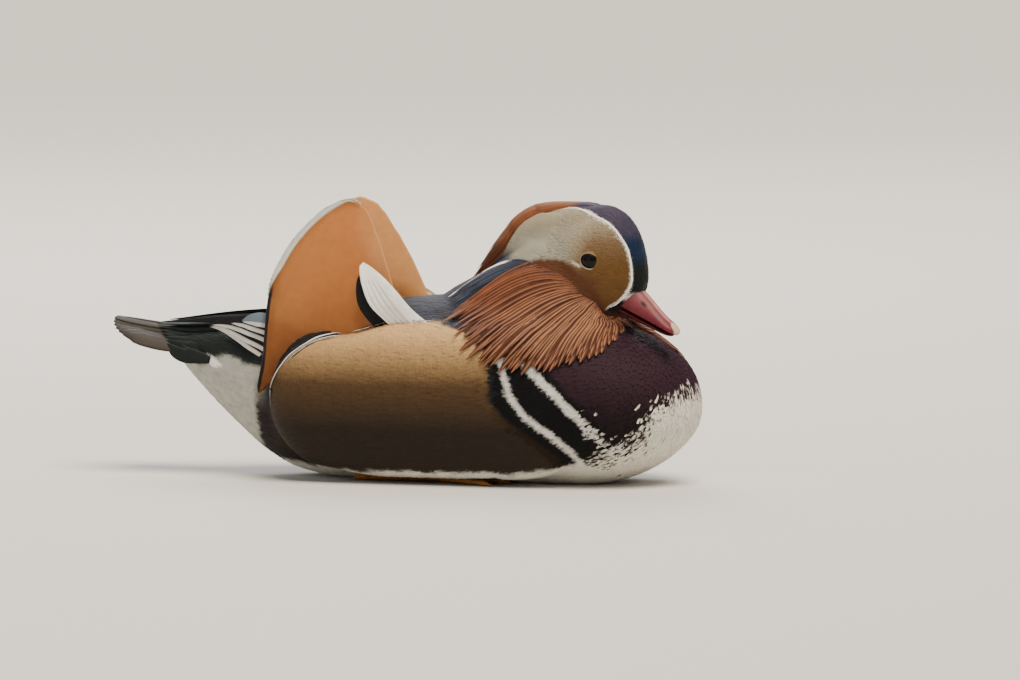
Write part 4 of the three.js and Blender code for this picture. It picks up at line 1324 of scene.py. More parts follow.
@dataclass
class Coat:
    """Small overlapping feathers over one part of the skin."""

    name: str
    slot: str
    finish: Feathers
    where: Callable[[Array], Array]  # which roots belong to this part
    spacing: float
    length: Callable[[Array], Array]
    width: float  # at most
    tip: Tip
    slim: float = 0.45  # width as a share of the length
    rows: int = 4
    lift: tuple[float, float] = (0.05, 0.5)  # of root and tip over the skin
    jitter: float = 0.1
    tone: float = 0.04  # how much one feather differs from the next
    eye_ring: float = 5.4  # bare, inside the feathers that cover the lids' rim

    def clear_of_eye(self, points: Array) -> Array:
        """Which points lie outside the bare ring round the eye."""
        a, b, c = HEAD.from_bird(points).T
        return (np.hypot(a - 1.0, c) > self.eye_ring) | (np.abs(b) <= 11)

    def build(self, skin: Skin, rng: Random) -> None:
        """Lays the feathers over the skin.

        Args:
            skin: what they lie on.
            rng: the source of chance.
        """
        roots, normals = skin.scatter(self.spacing, rng)
        keep = self.where(roots) & self.clear_of_eye(roots)
        roots, normals = roots[keep], normals[keep]
        many = len(roots)
        way = LIE.at(roots, normals)
        way = unit(way + np.cross(normals, way) * rng.normal(0, self.jitter, (many, 1)))
        length = self.length(roots) * rng.uniform(0.85, 1.15, many)
        stride = (length / (self.rows - 1))[:, None]
        spine, out = [roots], [normals]
        place, normal = roots, normals
        for _ in range(self.rows - 1):
            place, normal = skin.nearest(place + way * stride)
            way = unit(way - (way * normal).sum(axis=1, keepdims=True) * normal)
            spine.append(place)
            out.append(normal)
        share = np.linspace(0, 1, self.rows)
        rise = mix(self.lift[0], self.lift[1], share)[None] * rng.uniform(0.8, 1.2, (many, 1))
        spine, out = np.stack(spine, axis=1), np.stack(out, axis=1)
        spine = spine + out * rise[..., None]
        width = np.minimum(self.slim * length, self.width) * rng.uniform(0.85, 1.2, many)
        width = width[:, None] * self.tip.widths(self.rows)[None]
        blades = Blades(self.name)
        per = self.rows * (blades.columns + 1)
        shade = np.repeat(rng.normal(1, self.tone, many), per)
        fade = np.tile(np.repeat(mix(0.95, 1.03, share), blades.columns + 1), many)
        # The white of the breast meets the maroon in loose flecks, so colours are read off further afield there
        loose = mix(0.15, 3.0, step(106, 128, roots[:, 0]) * step(62, 50, roots[:, 2]))
        stray = np.repeat(rng.normal(0, 1, (many, 3)) * loose[:, None], per, axis=0)
        varied = np.stack([np.clip(shade * fade, 0.5, 1.5)] * 3 + [np.ones(len(shade))], axis=1)
        blades.add(spine, out, width, lambda points, _across, _along: MARKINGS.colours(points + stray) * varied)
        blades.finish(self.finish, self.slot)


# Long feathers


@dataclass(frozen=True)
class Layer:
    """One layer of a fan: its feathers and the part of the fan's length that they cover."""

    feathers: int
    width: float
    start: float
    end: float
    lift: tuple[float, float, float]  # of root, middle and tip over the skin


@dataclass(frozen=True)
class Fan:
    """Feathers that hang side by side over one side of the bird, as [x, z] in side view."""

    roots: Knots
    tips: Knots
    arch: Knots  # how far each one bows

    def lines(self, share: Array, t: Array) -> Array:
        """Where feathers run, in side view.

        Args:
            share: the place of each one in the fan.
            t: shares of its length, a row to each feather.

        Returns:
            the [x, z] at each of them.
        """
        root, tip = along(self.roots)(share)[:, None], along(self.tips)(share)[:, None]
        run = tip - root
        bow = along(self.arch)(share) * np.sin(np.pi * t**0.75)
        turn = np.stack([0.4 * run[..., 1], -run[..., 0]], axis=-1)
        turn = turn / np.linalg.norm(run, axis=-1, keepdims=True)
        return root + run * t[..., None] + bow[..., None] * turn


def drape(skin: Skin, side: float, lines: Array, lift: Array) -> tuple[Array, Array]:
    """Lays lines given in side view over one side of the skin.

    Args:
        skin: what they lie on.
        side: -1 for the bird's right, 1 for its left.
        lines: lines by points by [x, z].
        lift: how far each point stands off the skin.

    Returns:
        the points and the normals of the skin under them.
    """
    places, normals = skin.from_side(side, lines[..., 0].ravel(), lines[..., 1].ravel())
    places, normals = places.reshape(*lines.shape[:2], 3), normals.reshape(*lines.shape[:2], 3)
    for _ in range(3):
        for values in (places[..., 1], normals[..., 0], normals[..., 2]):
            values[:, 1:-1] = 0.25 * values[:, :-2] + 0.5 * values[:, 1:-1] + 0.25 * values[:, 2:]
    normals = unit(normals)
    return places + normals * lift[..., None], normals


@dataclass
class FanPiece:
    """A fan of layered feathers on one side: the orange ruff or the dark plumes of the nape."""

    name: str
    slot: str
    side: float
    fan: Fan
    layers: Sequence[Layer]
    finish: Feathers
    paint: Paint
    rows: int = 12
    wander: float = 0.7  # waviness towards the roots, in millimetres
    stray: float = 0.3  # how unevenly the feathers are spaced
    camber: float = 0.35
    tip: Tip = Tip.HACKLE

    def build(self, skin: Skin, rng: Random) -> None:
        """Lays every layer over the skin.

        Args:
            skin: what they lie on.
            rng: the source of chance.
        """
        blades = Blades(self.name, columns=4)
        evenly = np.linspace(0, 1, self.rows)
        for layer in self.layers:
            many = layer.feathers
            share = (np.arange(many) + 0.5 + rng.uniform(-self.stray, self.stray, many)) / many
            end = layer.end * rng.uniform(0.88, 1.04, (many, 1))
            t = mix(layer.start, end, evenly[None])
            lines = self.fan.lines(share, t)
            waves = np.sin(t * 25 + share[:, None] * 14) * step(0.6, 0.15, t) * step(0, 0.12, t)
            waves = waves * self.wander * step(0.25, 0.6, share)[:, None]
            lines[..., 0] += waves
            lines[..., 1] += waves * 0.4
            rise = smooth([(0, layer.lift[0]), (0.4, layer.lift[1]), (1, layer.lift[2])])
            lift = rise(evenly)[None] + rng.uniform(-0.2, 0.2, (many, 1))
            lift = lift * mix(1.0, 0.35, step(0.75, 1.0, share))[:, None]
            spine, out = drape(skin, self.side, lines, lift)
            width = layer.width * self.tip.widths(self.rows)[None] * rng.uniform(0.9, 1.1, (many, 1))
            spread = np.repeat(share, self.rows * (blades.columns + 1))
            paint = lambda _points, across, run, spread=spread: self.paint(spread, across, run)
            blades.add(spine, out, width, paint, camber=self.camber, tone=rng.normal(1, 0.08, many))
        blades.finish(self.finish, self.slot, self.name)


def ruff_paint(share: Array, across: Array, run: Array) -> Array:
    """Rufous hackles with pale shafts, chestnut towards their edges.

    Args:
        share: the feather's place in the fan.
        across: shares across it, from -1 to 1.
        run: shares along it.

    Returns:
        the colours.
    """
    deep = step(0.1, 0.7, np.abs(across)) * 0.95
    shaft = mix(0.15, 1.0, step(0.12, 0.45, share)) * mix(0.9, 0.65, run)
    pale = step(0.3, 0.08, np.abs(across + 0.15)) * shaft * 0.62
    return blend(Tint.RUFOUS, (Tint.RUFOUS_DEEP, deep), (Tint.SHAFT, pale))


def nape_paint(share: Array, across: Array, run: Array) -> Array:
    """Blue-black plumes under a thin white edge, with the same arguments."""
    edge = step(0.1, 0.05, share) * step(0.42, 0.55, run)
    return blend(Tint.NAPE, (Tint.SLATE, step(0.7, 0.0, np.abs(across)) * 0.3), (Tint.EDGE_WHITE, edge))


RUFF_LAYERS = (
    Layer(36, 5.6, 0.06, 1.0, (1.2, 1.8, 2.0)),
    Layer(36, 4.4, 0.03, 0.98, (1.2, 2.4, 2.4)),
    Layer(36, 3.4, 0.01, 0.92, (1.0, 2.9, 2.9)),
    Layer(36, 2.6, 0.0, 0.83, (0.7, 3.2, 3.3)),
)
RUFF = {
    "r": Fan(
        roots=(
            (70, 119.5), (84, 115.5), (95, 109.5), (98.5, 106), (101.5, 102.5), (105, 101), (107.6, 99.5),
            (109, 97.5), (110.3, 95), (112.7, 91.5), (115.6, 90.9),
        ),
        tips=(
            (31.5, 90.5), (30.5, 87), (33.5, 83), (42, 73), (54, 64), (70, 62), (85, 62.5), (97, 64.5), (108.5, 69),
            (118.9, 75), (124.7, 85),
        ),
        arch=((1,), (6,), (9,), (7,), (5.5,), (4,), (3,), (1,), (-0.5,), (-1,), (-1,)),
    ),
    "l": Fan(
        roots=((83, 117), (95, 113), (103, 108), (109, 102.5), (114, 99), (119, 96), (123, 93), (126, 91)),
        tips=((42, 88), (56, 75), (74, 67), (92, 63), (108, 62), (124, 62), (140, 63), (151, 66)),
        arch=((6,), (8,), (7,), (4,), (2,), (0,), (-1,), (-2,)),
    ),
}
NAPE_LAYERS = (
    Layer(16, 3.2, 0.0, 1.0, (0.1, 1.0, 1.6)),
    Layer(18, 2.6, 0.02, 0.9, (0.2, 1.4, 2.0)),
    Layer(20, 2.2, 0.0, 0.7, (0.2, 1.6, 2.3)),
)
NAPE = {
    "r": Fan(
        roots=((72.5, 118.6), (74, 117.8)), tips=((27, 99.5), (25, 94.5), (25.5, 88)), arch=((6.2,), (4.5,), (2.5,))
    ),
    "l": Fan(
        roots=((79, 121.5), (81, 120)), tips=((34, 100), (33, 95.5), (34, 90)), arch=((3.2,), (2.8,), (2,))
    ),
}


@dataclass
class Edging:
    """Fine strands laid end over end along lines, where two colours of plumage meet."""

    name: str
    slot: str
    finish: Feathers
    path: Knots  # near the skin, which the strands are drawn on to
    lines: Sequence[tuple[float, float, Tint]]  # how far up each one lies beside the path, its width and colour
    length: float = 7.0
    lift: float = 0.9
    fade: tuple[float, float] = (0.0, 0.0)  # the shares of the path over which the lines narrow at its ends
    overlap: int = 5  # how many strands lie side by side

    def build(self, skin: Skin, rng: Random) -> None:
        """Lays every line.

        Args:
            skin: what they lie on.
            rng: the source of chance.
        """
        blades = Blades(self.name)
        way = along(self.path)
        total = np.linalg.norm(np.diff(way(np.linspace(0, 1, 50)), axis=0), axis=1).sum()
        many, rows = int(total / self.length * self.overlap), 6
        reach = self.length / total
        at = np.linspace(0, 1 - reach, many)[:, None] + np.linspace(0, reach, rows)[None]
        guess = way(at)
        run = unit(way(np.minimum(at + 0.01, 1)) - way(np.minimum(at + 0.01, 1) - 0.01))
        beside = unit(np.cross(skin.nearest(guess)[1], run))
        beside = beside * np.sign(beside[..., 2:] + 1e-6)
        ends = step(-0.001, self.fade[0], at) * step(1.001, 1 - self.fade[1], at)
        for offset, width, tint in self.lines:
            places, normals = skin.nearest(guess + beside * offset)
            widths = width * Tip.STRAND.widths(rows)[None] * rng.uniform(0.85, 1.15, (many, 1)) * ends
            rise = self.lift + rng.uniform(-0.12, 0.12, (many, 1, 1))
            paint = lambda points, _across, _run, tint=tint: plain(tint, points)
            blades.add(places + normals * rise, normals, widths, paint, 0.2)
        blades.finish(self.finish, self.slot)


def edgings(tag: str, finish: Feathers) -> list[Edging]:
    """The fine lines of one side: round the face, and along the edge of the golden side feathers.

    Args:
        tag: the side, r or l.
        finish: what they are made of.

    Returns:
        the lines.
    """
    side = SIDES[tag]
    around = HEAD.to_bird(np.array(MARKINGS.face_line) * [1, side, 1]).tolist()
    rear = (
        (-67, 40, 37.5), (-67.5, 39, 47.6), (-66, 38.5, 52), (-60.5, 39, 61.8), (-56, 38, 67.5), (-52, 38, 70.7),
        (-48.2, 37, 74.6), (-41.7, 35, 78), (-33, 35, 79.8), (-28, 36, 79.3),
    )
    fore = (
        (-22, 38, 79.6), (-16, 38, 82.5), (-11, 38, 85.5), (-5, 38.5, 87.2), (4, 39, 87.8), (16, 40, 87.6),
        (27, 41, 86.6),
    )
    flip = lambda points: [(x, side * y, z) for x, y, z in points]
    black, white, dark, slot = Tint.INK, Tint.EDGE_WHITE, Tint.GOLD_SHADE_AND_DARK_LINES, "flank_plumage"
    outline = ((2.2, 3.0, black), (0.3, 1.0, white))
    rows = ((-0.9, 0.8, black), (-1.9, 0.45, white), (-2.8, 0.7, dark), (-3.7, 0.4, white), (-4.6, 0.5, dark))
    above = ((1.1, 0.7, black), (0.3, 1.0, white), (-0.7, 0.6, dark))
    return [
        Edging("face_line_" + tag, "face_plumage", finish, around, ((0.0, 1.1, white),), 3.5, 0.7, (0.12, 0.1)),
        Edging("flank_edge_" + tag, slot, finish, flip(rear), outline, 9.0, 0.9, (0.3, 0.3)),
        Edging("flank_rows_" + tag, slot, finish, flip(rear[3:]), rows, 7.0, 0.8, (0.3, 0.15)),
        Edging("flank_top_" + tag, slot, finish, flip(fore), above, 8.0, 1.7, (0.1, 0.3)),
    ]


@dataclass
class Brow:
    """The long cream feathers of one side's brow stripe, which end under the crest."""

    tag: str
    finish: Feathers
    roots: Knots = ((-20, 11, 23), (-22, 15, 17), (-24, 18, 9), (-27, 19, 1), (-30, 19, -2))
    tips: Knots = ((-37, 8.5, 23.2), (-46, 10, 17.8), (-53, 10.8, 9), (-58, 10, 1), (-64, 8.6, -4))
    tiers: Knots = ((0.1, 1.0, 0.4), (0.0, 0.85, 0.8), (0.0, 0.6, 1.1))  # start, end and lift of each
    feathers: int = 60
    rows: int = 10

    def build(self, skin: Skin, rng: Random) -> None:
        """Lays the feathers from the side of the skull to the crest's edge.

        Args:
            skin: what they start on.
            rng: the source of chance.
        """
        side = SIDES[self.tag]
        blades = Blades("brow_" + self.tag, columns=4)
        evenly = np.linspace(0, 1, self.rows)
        outward = HEAD.turn() @ unit(np.array([-0.15, side, 0.35]))
        for start, end, lift in self.tiers:
            share = (np.arange(self.feathers) + rng.uniform(0, 1, self.feathers)) / self.feathers
            begin = start + rng.uniform(-0.1, 0.12, (self.feathers, 1))
            t = mix(begin, end, evenly[None])[..., None]
            root, tip = along(self.roots)(share)[:, None], along(self.tips)(share)[:, None]
            straight = HEAD.to_bird((root + (tip - root) * t) * [1, side, 1])
            places, normals = skin.nearest(straight)
            free = step(0.4, 0.85, t)
            rise = mix(-0.5, lift * 0.7, step(0.0, 0.25, evenly))[None, :, None]
            spine = mix(places + normals * rise, straight + outward * (lift + 0.5), free)
            out = unit(mix(normals, outward, free))
            width = 3.4 * Tip.STRAND.widths(self.rows)[None] * rng.uniform(0.85, 1.15, (self.feathers, 1))
            paint = lambda points, _across, _run: MARKINGS.head(points)
            blades.add(spine, out, width, paint, 0.2, tone=rng.normal(1, 0.03, self.feathers))
        blades.finish(self.finish, "face_plumage")


@dataclass
class Crest:
    """Long feathers that lie back over the crown and hang off the back of the head."""

    finish: Feathers
    ridge_highlight: Knots = (
        (0, 0, 29.4), (-12, 0, 30), (-30, 0, 29.6), (-44, 0, 27.6), (-54, 0, 22.5), (-62, 0, 15),
        (-70, 0, 6), (-79, 0, -5), (-89, 0, -17),
    )
    edge: Knots = (
        (0, 6.5, 27.2), (-10, 6.0, 28), (-24, 7, 26.6), (-37, 9, 22.6), (-45.5, 10.8, 17), (-52.5, 11.4, 8.5),
        (-58, 9.6, 0), (-69, 7, -8), (-87, 3.2, -19.5),
    )
    tiers: Sequence[tuple[int, float, float, float, float]] = (
        # feathers, width, start, end, depth under the surface
        (24, 4.6, 0.12, 1.0, 3.0),
        (24, 4.4, 0.10, 0.96, 2.0),
        (26, 4.0, 0.06, 0.9, 1.2),
        (28, 3.4, 0.03, 0.82, 0.5),
        (34, 2.6, 0.0, 0.6, 0.0),
        (38, 2.0, 0.0, 0.38, -0.3),
    )
    rows: int = 12

    def build(self, rng: Random) -> None:
        """Lays every tier back from the crown.

        Args:
            rng: the source of chance.
        """
        blades = Blades("crest", columns=4)
        for feathers, width, start, end, depth in self.tiers:
            offset = np.linspace(-0.95, 0.95, feathers)[:, None] + rng.uniform(-0.02, 0.02, (feathers, 1))
            t = mix(start, end * rng.uniform(0.93, 1.03, (feathers, 1)), np.linspace(0, 1, self.rows)[None])
            ridge_highlight, edge = along(self.ridge_highlight)(t), along(self.edge)(t)
            bend = np.clip(offset, -1, 1) * math.pi / 2
            spine = edge + (ridge_highlight - edge) * np.cos(bend)[..., None]
            spine[..., 1] = edge[..., 1] * np.sin(bend)
            lean = step(0.45, 0.7, t)
            out = unit(np.stack([-0.75 * lean, np.sin(bend) + 0 * t, mix(0.25, 1, np.cos(bend)) + 0 * t], axis=-1))
            spine = spine - out * (depth + 2.2 * step(0.14, 0.0, t))[..., None]
            widths = width * Tip.STRAND.widths(self.rows)[None] * rng.uniform(0.85, 1.15, (feathers, 1))
            at = np.repeat(t.ravel(), blades.columns + 1)
            low = np.repeat(np.abs(offset[:, 0]), self.rows * (blades.columns + 1))
            # Purple at the crown, then copper, deeper copper at the edges, on the outer feathers partway along and at
            # the tip
            paint = lambda points, across, _run, at=at, low=low: blend(
                Tint.COPPER,
                (Tint.COPPER_DEEP, step(0.3, 1.0, np.abs(across)) * 0.45),
                (Tint.COPPER_DEEP, step(0.55, 1.0, low) * step(0.3, 0.55, at) * 0.75),
                (Tint.COPPER_DEEP, step(0.6, 0.85, at) * 0.8),
                (Tint.BROW_PURPLE, step(-20, -11, HEAD.from_bird(points)[:, 0])),
            )
            tone = rng.normal(1, 0.1, feathers)
            blades.add(HEAD.to_bird(spine), out @ HEAD.turn().T, widths, paint, camber=0.3, tone=tone)
        blades.finish(self.finish, "crest_plumage", "crest")


@dataclass
class Sail:
    """The one broad inner wing feather that stands up over the back, with its soft pale fringe."""

    tag: str
    finish: Feathers
    quill: Knots = ((2, 34, 84), (-24, 36, 77), (-50, 31, 67), (-65, 36, 56), (-74, 44.5, 46.5))
    rim: Knots = (
        (5, 37, 90), (-5, 30, 116), (-13, 23, 133), (-22, 17, 147), (-31, 15, 150.6), (-42, 17, 146.5),
        (-54, 21, 136), (-64, 27, 121.5), (-70, 33, 105), (-71, 38, 90), (-71, 43, 72), (-74, 46, 49),
    )
    bulge: float = 3.0
    lit_through_pale: float = 0.85  # share by which the side towards the back is painted paler, as painted light shining through the vane
    back: float = 0.0  # how much further back its front edge lies
    thickness: float = 0.8
    rows: int = 190
    columns: int = 72
    fringe: tuple[float, float] = (0.3, 0.76)  # the shares of the rim between which it is fringed
    fringe_tips: int = 420
    quill_rows: int = 24

    def point(self, s: Array, t: Array) -> Array:
        """Places on the vane.

        Args:
            s: shares along the quill.
            t: shares of the way up to the rim.

        Returns:
            the points.
        """
        foot, edge = along(self.quill)(s), along(self.rim)(s)
        bow = self.bulge * 4 * t * (1 - t) * np.sin(np.pi * s)
        place = foot + (edge - foot) * t[..., None]
        place[..., 1] += bow
        place[..., 0] -= self.back * (1 - s) * t
        return place * [1, SIDES[self.tag], 1]

    def reach(self, s: Array) -> Array:
        """The height of the vane at share s, from quill to rim."""
        return np.linalg.norm(along(self.rim)(s) - along(self.quill)(s), axis=-1)

    def starts(self) -> float:
        """The share of the rim where its fringe begins, later if the front edge lies further back."""
        return self.fringe[0] + 0.04 * self.back

    def paint(self, s: Array, t: Array) -> Array:
        """Orange, deeper at the quill's tip, with the cream fringe and the blue-black edge.

        Args:
            s: shares along the quill.
            t: shares of the way up to the rim.

        Returns:
            the colours.
        """
        knots = np.linspace(0, 1, 240)
        gap = np.linalg.norm(self.point(s, t)[:, None] - self.point(knots, np.ones_like(knots))[None], axis=2)
        from_rim, at = gap.min(axis=1), knots[gap.argmin(axis=1)]
        end = self.fringe[1]
        depth = 2.7 * step(self.starts() - 0.02, 0.5, at) * step(end, end - 0.1, at)
        return blend(
            Tint.SAIL,
            (Tint.SAIL_PALE, step(0.35, 0.1, at) * step(14, 2, from_rim) * 0.7),
            (Tint.SAIL_DEEP, np.clip(step(0.35, 1.0, s) * 0.75 + step(0.6, 0.0, t) * 0.35, 0, 0.9)),
            (Tint.SAIL_DEEP, step(7, 3, from_rim) * 0.25 * step(0.25, 0.4, at)),
            (Tint.FRINGE, step(depth + 0.5, depth - 0.5, from_rim) * (depth > 0.2)),
            (Tint.INK, step(2.2, 1.4, from_rim) * step(end - 0.06, end, at)),
        )

    def add_fringe(self, blades: Blades, rng: Random) -> None:
        """Adds the loose cream tips of the barbs.

        Args:
            blades: what they are added to.
            rng: the source of chance.
        """
        many, rows = self.fringe_tips, 4
        at = np.linspace(self.starts(), self.fringe[1], many)
        rim, foot = self.point(at, np.ones(many)), self.point(at, np.full(many, 0.6))
        run = unit(np.gradient(rim, axis=0))
        away = rim - foot
        away = unit(away - (away * run).sum(axis=1, keepdims=True) * run)
        away = unit(away + run * rng.normal(0.1, 0.12, (many, 1)))
        reach = mix(-2.6, rng.uniform(0.0, 0.9, (many, 1)), np.linspace(0, 1, rows)[None])
        tips = rim[:, None] + away[:, None] * reach[..., None]
        cross = unit(np.cross(tips[:, -1] - tips[:, 0], np.gradient(tips[:, 0], axis=0)))
        cross = cross * SIDES[self.tag] * np.sign(cross[:, 1:2])
        out = np.repeat(cross[:, None], rows, axis=1)
        widths = np.tile([0.5, 0.6, 0.5, 0.1], (many, 1))
        blades.add(tips - out * 0.4, out, widths, lambda points, _across, _run: plain(Tint.FRINGE, points), camber=0.1)

    def add_quill(self, blades: Blades) -> None:
        """Adds the quill, pale at its root.

        Args:
            blades: what it is added to.
        """
        side = SIDES[self.tag]
        spine = along(self.quill)(np.linspace(0.0, 0.97, self.quill_rows)[None]) * [1, side, 1]
        out = np.broadcast_to(unit(np.array([0.0, side, 0.2])), spine.shape)
        paint = lambda _points, _across, run: blend(Tint.SAIL_DEEP, (Tint.SHAFT, step(0.5, 0.0, run) * 0.5))
        blades.add(spine + out * 0.3, out, 1.6 * Tip.STRAND.widths(self.quill_rows)[None], paint, camber=0.8)

    def build(self, rng: Random) -> None:
        """Makes the vane with its fringe and quill, and paints the side towards the back paler, as painted light
        shining through the vane.

        Args:
            rng: the source of chance.
        """
        name, slack = "sail_" + self.tag, 0.005
        rows, columns = np.linspace(0.005, 0.99, self.rows), np.linspace(0, 1, self.columns + 1) ** 0.8
        s, t = np.meshgrid(rows, columns, indexing="ij")
        ragged = ripple(np.stack([rows * 90, rows * 0, rows * 0], axis=1), 3.1, 31) * slack
        t = t * (1 - slack + ragged[:, None])
        blades = Blades(name)
        vane, grid = np.stack([t * self.reach(s), s * 150], axis=-1), self.point(s, t)[None]
        blades.add_grids(grid, self.paint(s.ravel(), t.ravel()), vane, grid[:, 0, 0], patch=0.05)
        self.add_fringe(blades, rng)
        self.add_quill(blades)
        thing = blades.build(self.thickness)
        colours = thing.data.attributes[PLUMAGE].data
        values = fetched(colours, "color", 4, np.float32)
        ways = fetched(thing.data.vertices, "normal", 3)[:, 1] * SIDES[self.tag]
        # Painted light: the orange side towards the back is paled, as if lit through the vane
        orange = (values[:, 0] < 0.5) & (values[:, 0] > 0.05)
        values[:, :3] = blend(values[:, :3], (Tint.SAIL_LIT_THROUGH, step(0.1, -0.3, ways) * orange * self.lit_through_pale))
        colours.foreach_set("color", values.ravel())
        finish_piece(thing, self.finish, "sail_feather", name)


@dataclass(frozen=True)
class Plume:
    """One long feather given by the points of its shaft."""

    points: Knots
    width: float
    lift: float = 0.0


@dataclass
class Plumes:
    """A group of single long feathers, mirrored to the bird's other side."""

    name: str
    node: str
    slot: str
    finish: Feathers
    plumes: Sequence[Plume]
    facing: Callable[[float], Point]  # the way each flat side looks, by the feather's place
    paint: Callable[[Array, Array, Array, float], Array]
    sides: Sequence[float]
    tip: Tip = Tip.BROAD
    columns: int = 6
    rows: int = 14
    camber: float = 0.12
    thickness: float = 0.35

    def build(self, rng: Random) -> None:
        """Makes every feather on each of its sides.

        Args:
            rng: the source of chance.
        """
        blades = Blades(self.name, columns=self.columns)
        t = np.linspace(0, 1, self.rows)
        for side in self.sides:
            for i, plume in enumerate(self.plumes):
                place = i / max(len(self.plumes) - 1, 1)
                spine = along(plume.points)(t)[None] * [1, side, 1]
                out = np.broadcast_to(unit(np.array(self.facing(place)) * [1, side, 1]), spine.shape)
                width = plume.width * self.tip.widths(self.rows)[None]
                # Across is counted upwards on both sides
                paint = lambda p, across, run, side=side, place=place: self.paint(p, -across * side, run, place)
                blades.add(spine + out * plume.lift, out, width, paint, self.camber, tone=rng.normal(1, 0.05, 1))
        blades.finish(self.finish, self.slot, self.node, thickness=self.thickness)


def between(low: Point, high: Point, share: float) -> Point:
    """The point at a share of the way between two."""
    return tuple(mix(a, b, share) for a, b in zip(low, high))


def scapular_paint(points: Array, _up: Array, _run: Array, place: float) -> Array:
    """White feathers in front of a black one."""
    return plain(Tint.INK if place > 0.9 else Tint.EDGE_WHITE, points)


def primary_paint(points: Array, _up: Array, _run: Array, _place: float) -> Array:
    """Black flight feathers."""
    return plain(Tint.INK, points)


def secondary_paint(_points: Array, up: Array, run: Array, place: float) -> Array:
    """Black feathers with a white lower edge, under a blue-grey one."""
    edge = step(-0.42, -0.52, up) * step(1.0, 0.93, run)
    return blend(Tint.INK if place > 0 else Tint.WING_GREY, (Tint.BAR_WHITE, edge))


def tail_paint(_points: Array, up: Array, run: Array, _place: float) -> Array:
    """Grey-brown feathers, darker along one web and at the tip."""
    web, end = step(0.1, 0.9, np.abs(up)) * 0.5, step(0.85, 1.0, run) * 0.5
    return blend(Tint.TAIL, (Tint.TAIL_DARK, web), (Tint.TAIL_DARK, end))


def covert_paint(points: Array, _up: Array, _run: Array, _place: float) -> Array:
    """Blackish green feathers."""
    return blend(Tint.RUMP, (Tint.BILL_GREEN, step(-0.5, 0.5, ripple(points, 12, 21)) * 0.5))


def scapulars(tag: str, finish: Feathers) -> Plumes:
    """The white feathers, and the black one behind them, that rise in front of the sail.

    Args:
        tag: the side, r or l.
        finish: what they are made of.

    Returns:
        the feathers.
    """
    rear = ((5, 35, 82), (-4.5, 38, 91), (-11, 40, 98), (-15, 39.5, 107), (-18, 37, 117))
    front = ((22, 38, 82), (10, 40.5, 92), (2.5, 42, 101), (-5.5, 40.5, 109.5), (-16.6, 37.3, 118.8))
    black = ((1, 35, 81), (-9.5, 38, 90.5), (-14.5, 40, 98.5), (-16.3, 39.5, 107), (-17.2, 36.5, 114))
    if tag == "l":  # lower and further back than on the right
        lower = lambda line: [(x - 0.25 * (z - 82), y, 82 + 0.7 * (z - 82)) for x, y, z in line]
        rear, front, black = lower(rear), lower(front), lower(black)
    plumes = []
    for i, share in enumerate((0.97, 0.76, 0.54, 0.32, 0.12)):
        points = [between(low, high, share) for low, high in zip(rear, front)]
        plumes.append(Plume([(x, y + 0.35 * i, z) for x, y, z in points], 6.2))
    plumes.append(Plume(black, 9.5, -0.6))
    name, facing, side = "scapulars_" + tag, lambda _: (0.15, 1, 0.3), [SIDES[tag]]
    return Plumes(name, name, "scapular_feathers", finish, plumes, facing, scapular_paint, side, Tip.SPIRE, rows=20)


SECONDARIES = (
    ((-56, 79.5), (-71.4, 83), (-78.6, 84.1), (-86, 84.6)),
    ((-58, 71), (-71.7, 79.1), (-80, 81.4), (-88.2, 82.9), (-94, 83.2)),
    ((-60, 65), (-72.4, 75), (-83.9, 78.9), (-92.1, 80.7), (-99.5, 81.5), (-107, 81.4)),
    ((-62, 60), (-73.1, 70.1), (-83.9, 74.7), (-92.1, 77.6), (-99.5, 79.9), (-107.5, 80.8)),
    ((-62, 56), (-73.8, 66), (-83.6, 71.7), (-96, 77.7), (-102, 79.6), (-108.8, 80.2)),
)


def wing_rows(tag: str, finish: Feathers) -> list[Plumes]:
    """The folded wing: primaries over the rump, and white-edged secondaries under the sail.

    Args:
        tag: the side, r or l.
        finish: what they are made of.

    Returns:
        the two rows.
    """
    primaries = []
    for i in range(6):
        root, tip, lift = (-46, 24, 87.5 - i), (-139 + 5 * i, 8 + i, 81.4 + 0.2 * i), 0.3 if i % 2 else -0.3
        middle = between(root, tip, 0.5)
        middle = (middle[0], middle[1] + 1.6, middle[2] + 1.2)
        primaries.append(Plume([(x, y + lift, z) for x, y, z in (root, middle, tip)], 4.2))
    secondaries = []
    shares = np.linspace(0, 1, 7)
    for i, line in enumerate(SECONDARIES):
        points = along(line)(shares)
        up = 2.8 * smooth(Tip.WING.value)(shares)
        deep = np.minimum(37 + (points[:, 0] + 72) * 0.52, 30.5 - (points[:, 0] + 68) * 0.55) + 1.6 - 0.6 * i
        secondaries.append(Plume([(x, y, z + u) for (x, z), y, u in zip(points, deep, up)], 7.8))
    name, slot, side = "wing_" + tag, "wing_feathers", [SIDES[tag]]
    top, low = (lambda _, z=z: (-0.12, 1, z) for z in (0.45, 0.12))
    return [
        Plumes(name, name, slot, finish, primaries, top, primary_paint, side, Tip.POINTED, rows=20),
        Plumes("speculum_" + tag, name, slot, finish, secondaries, low, secondary_paint, side, Tip.WING, 12, 24, 0.05),
    ]


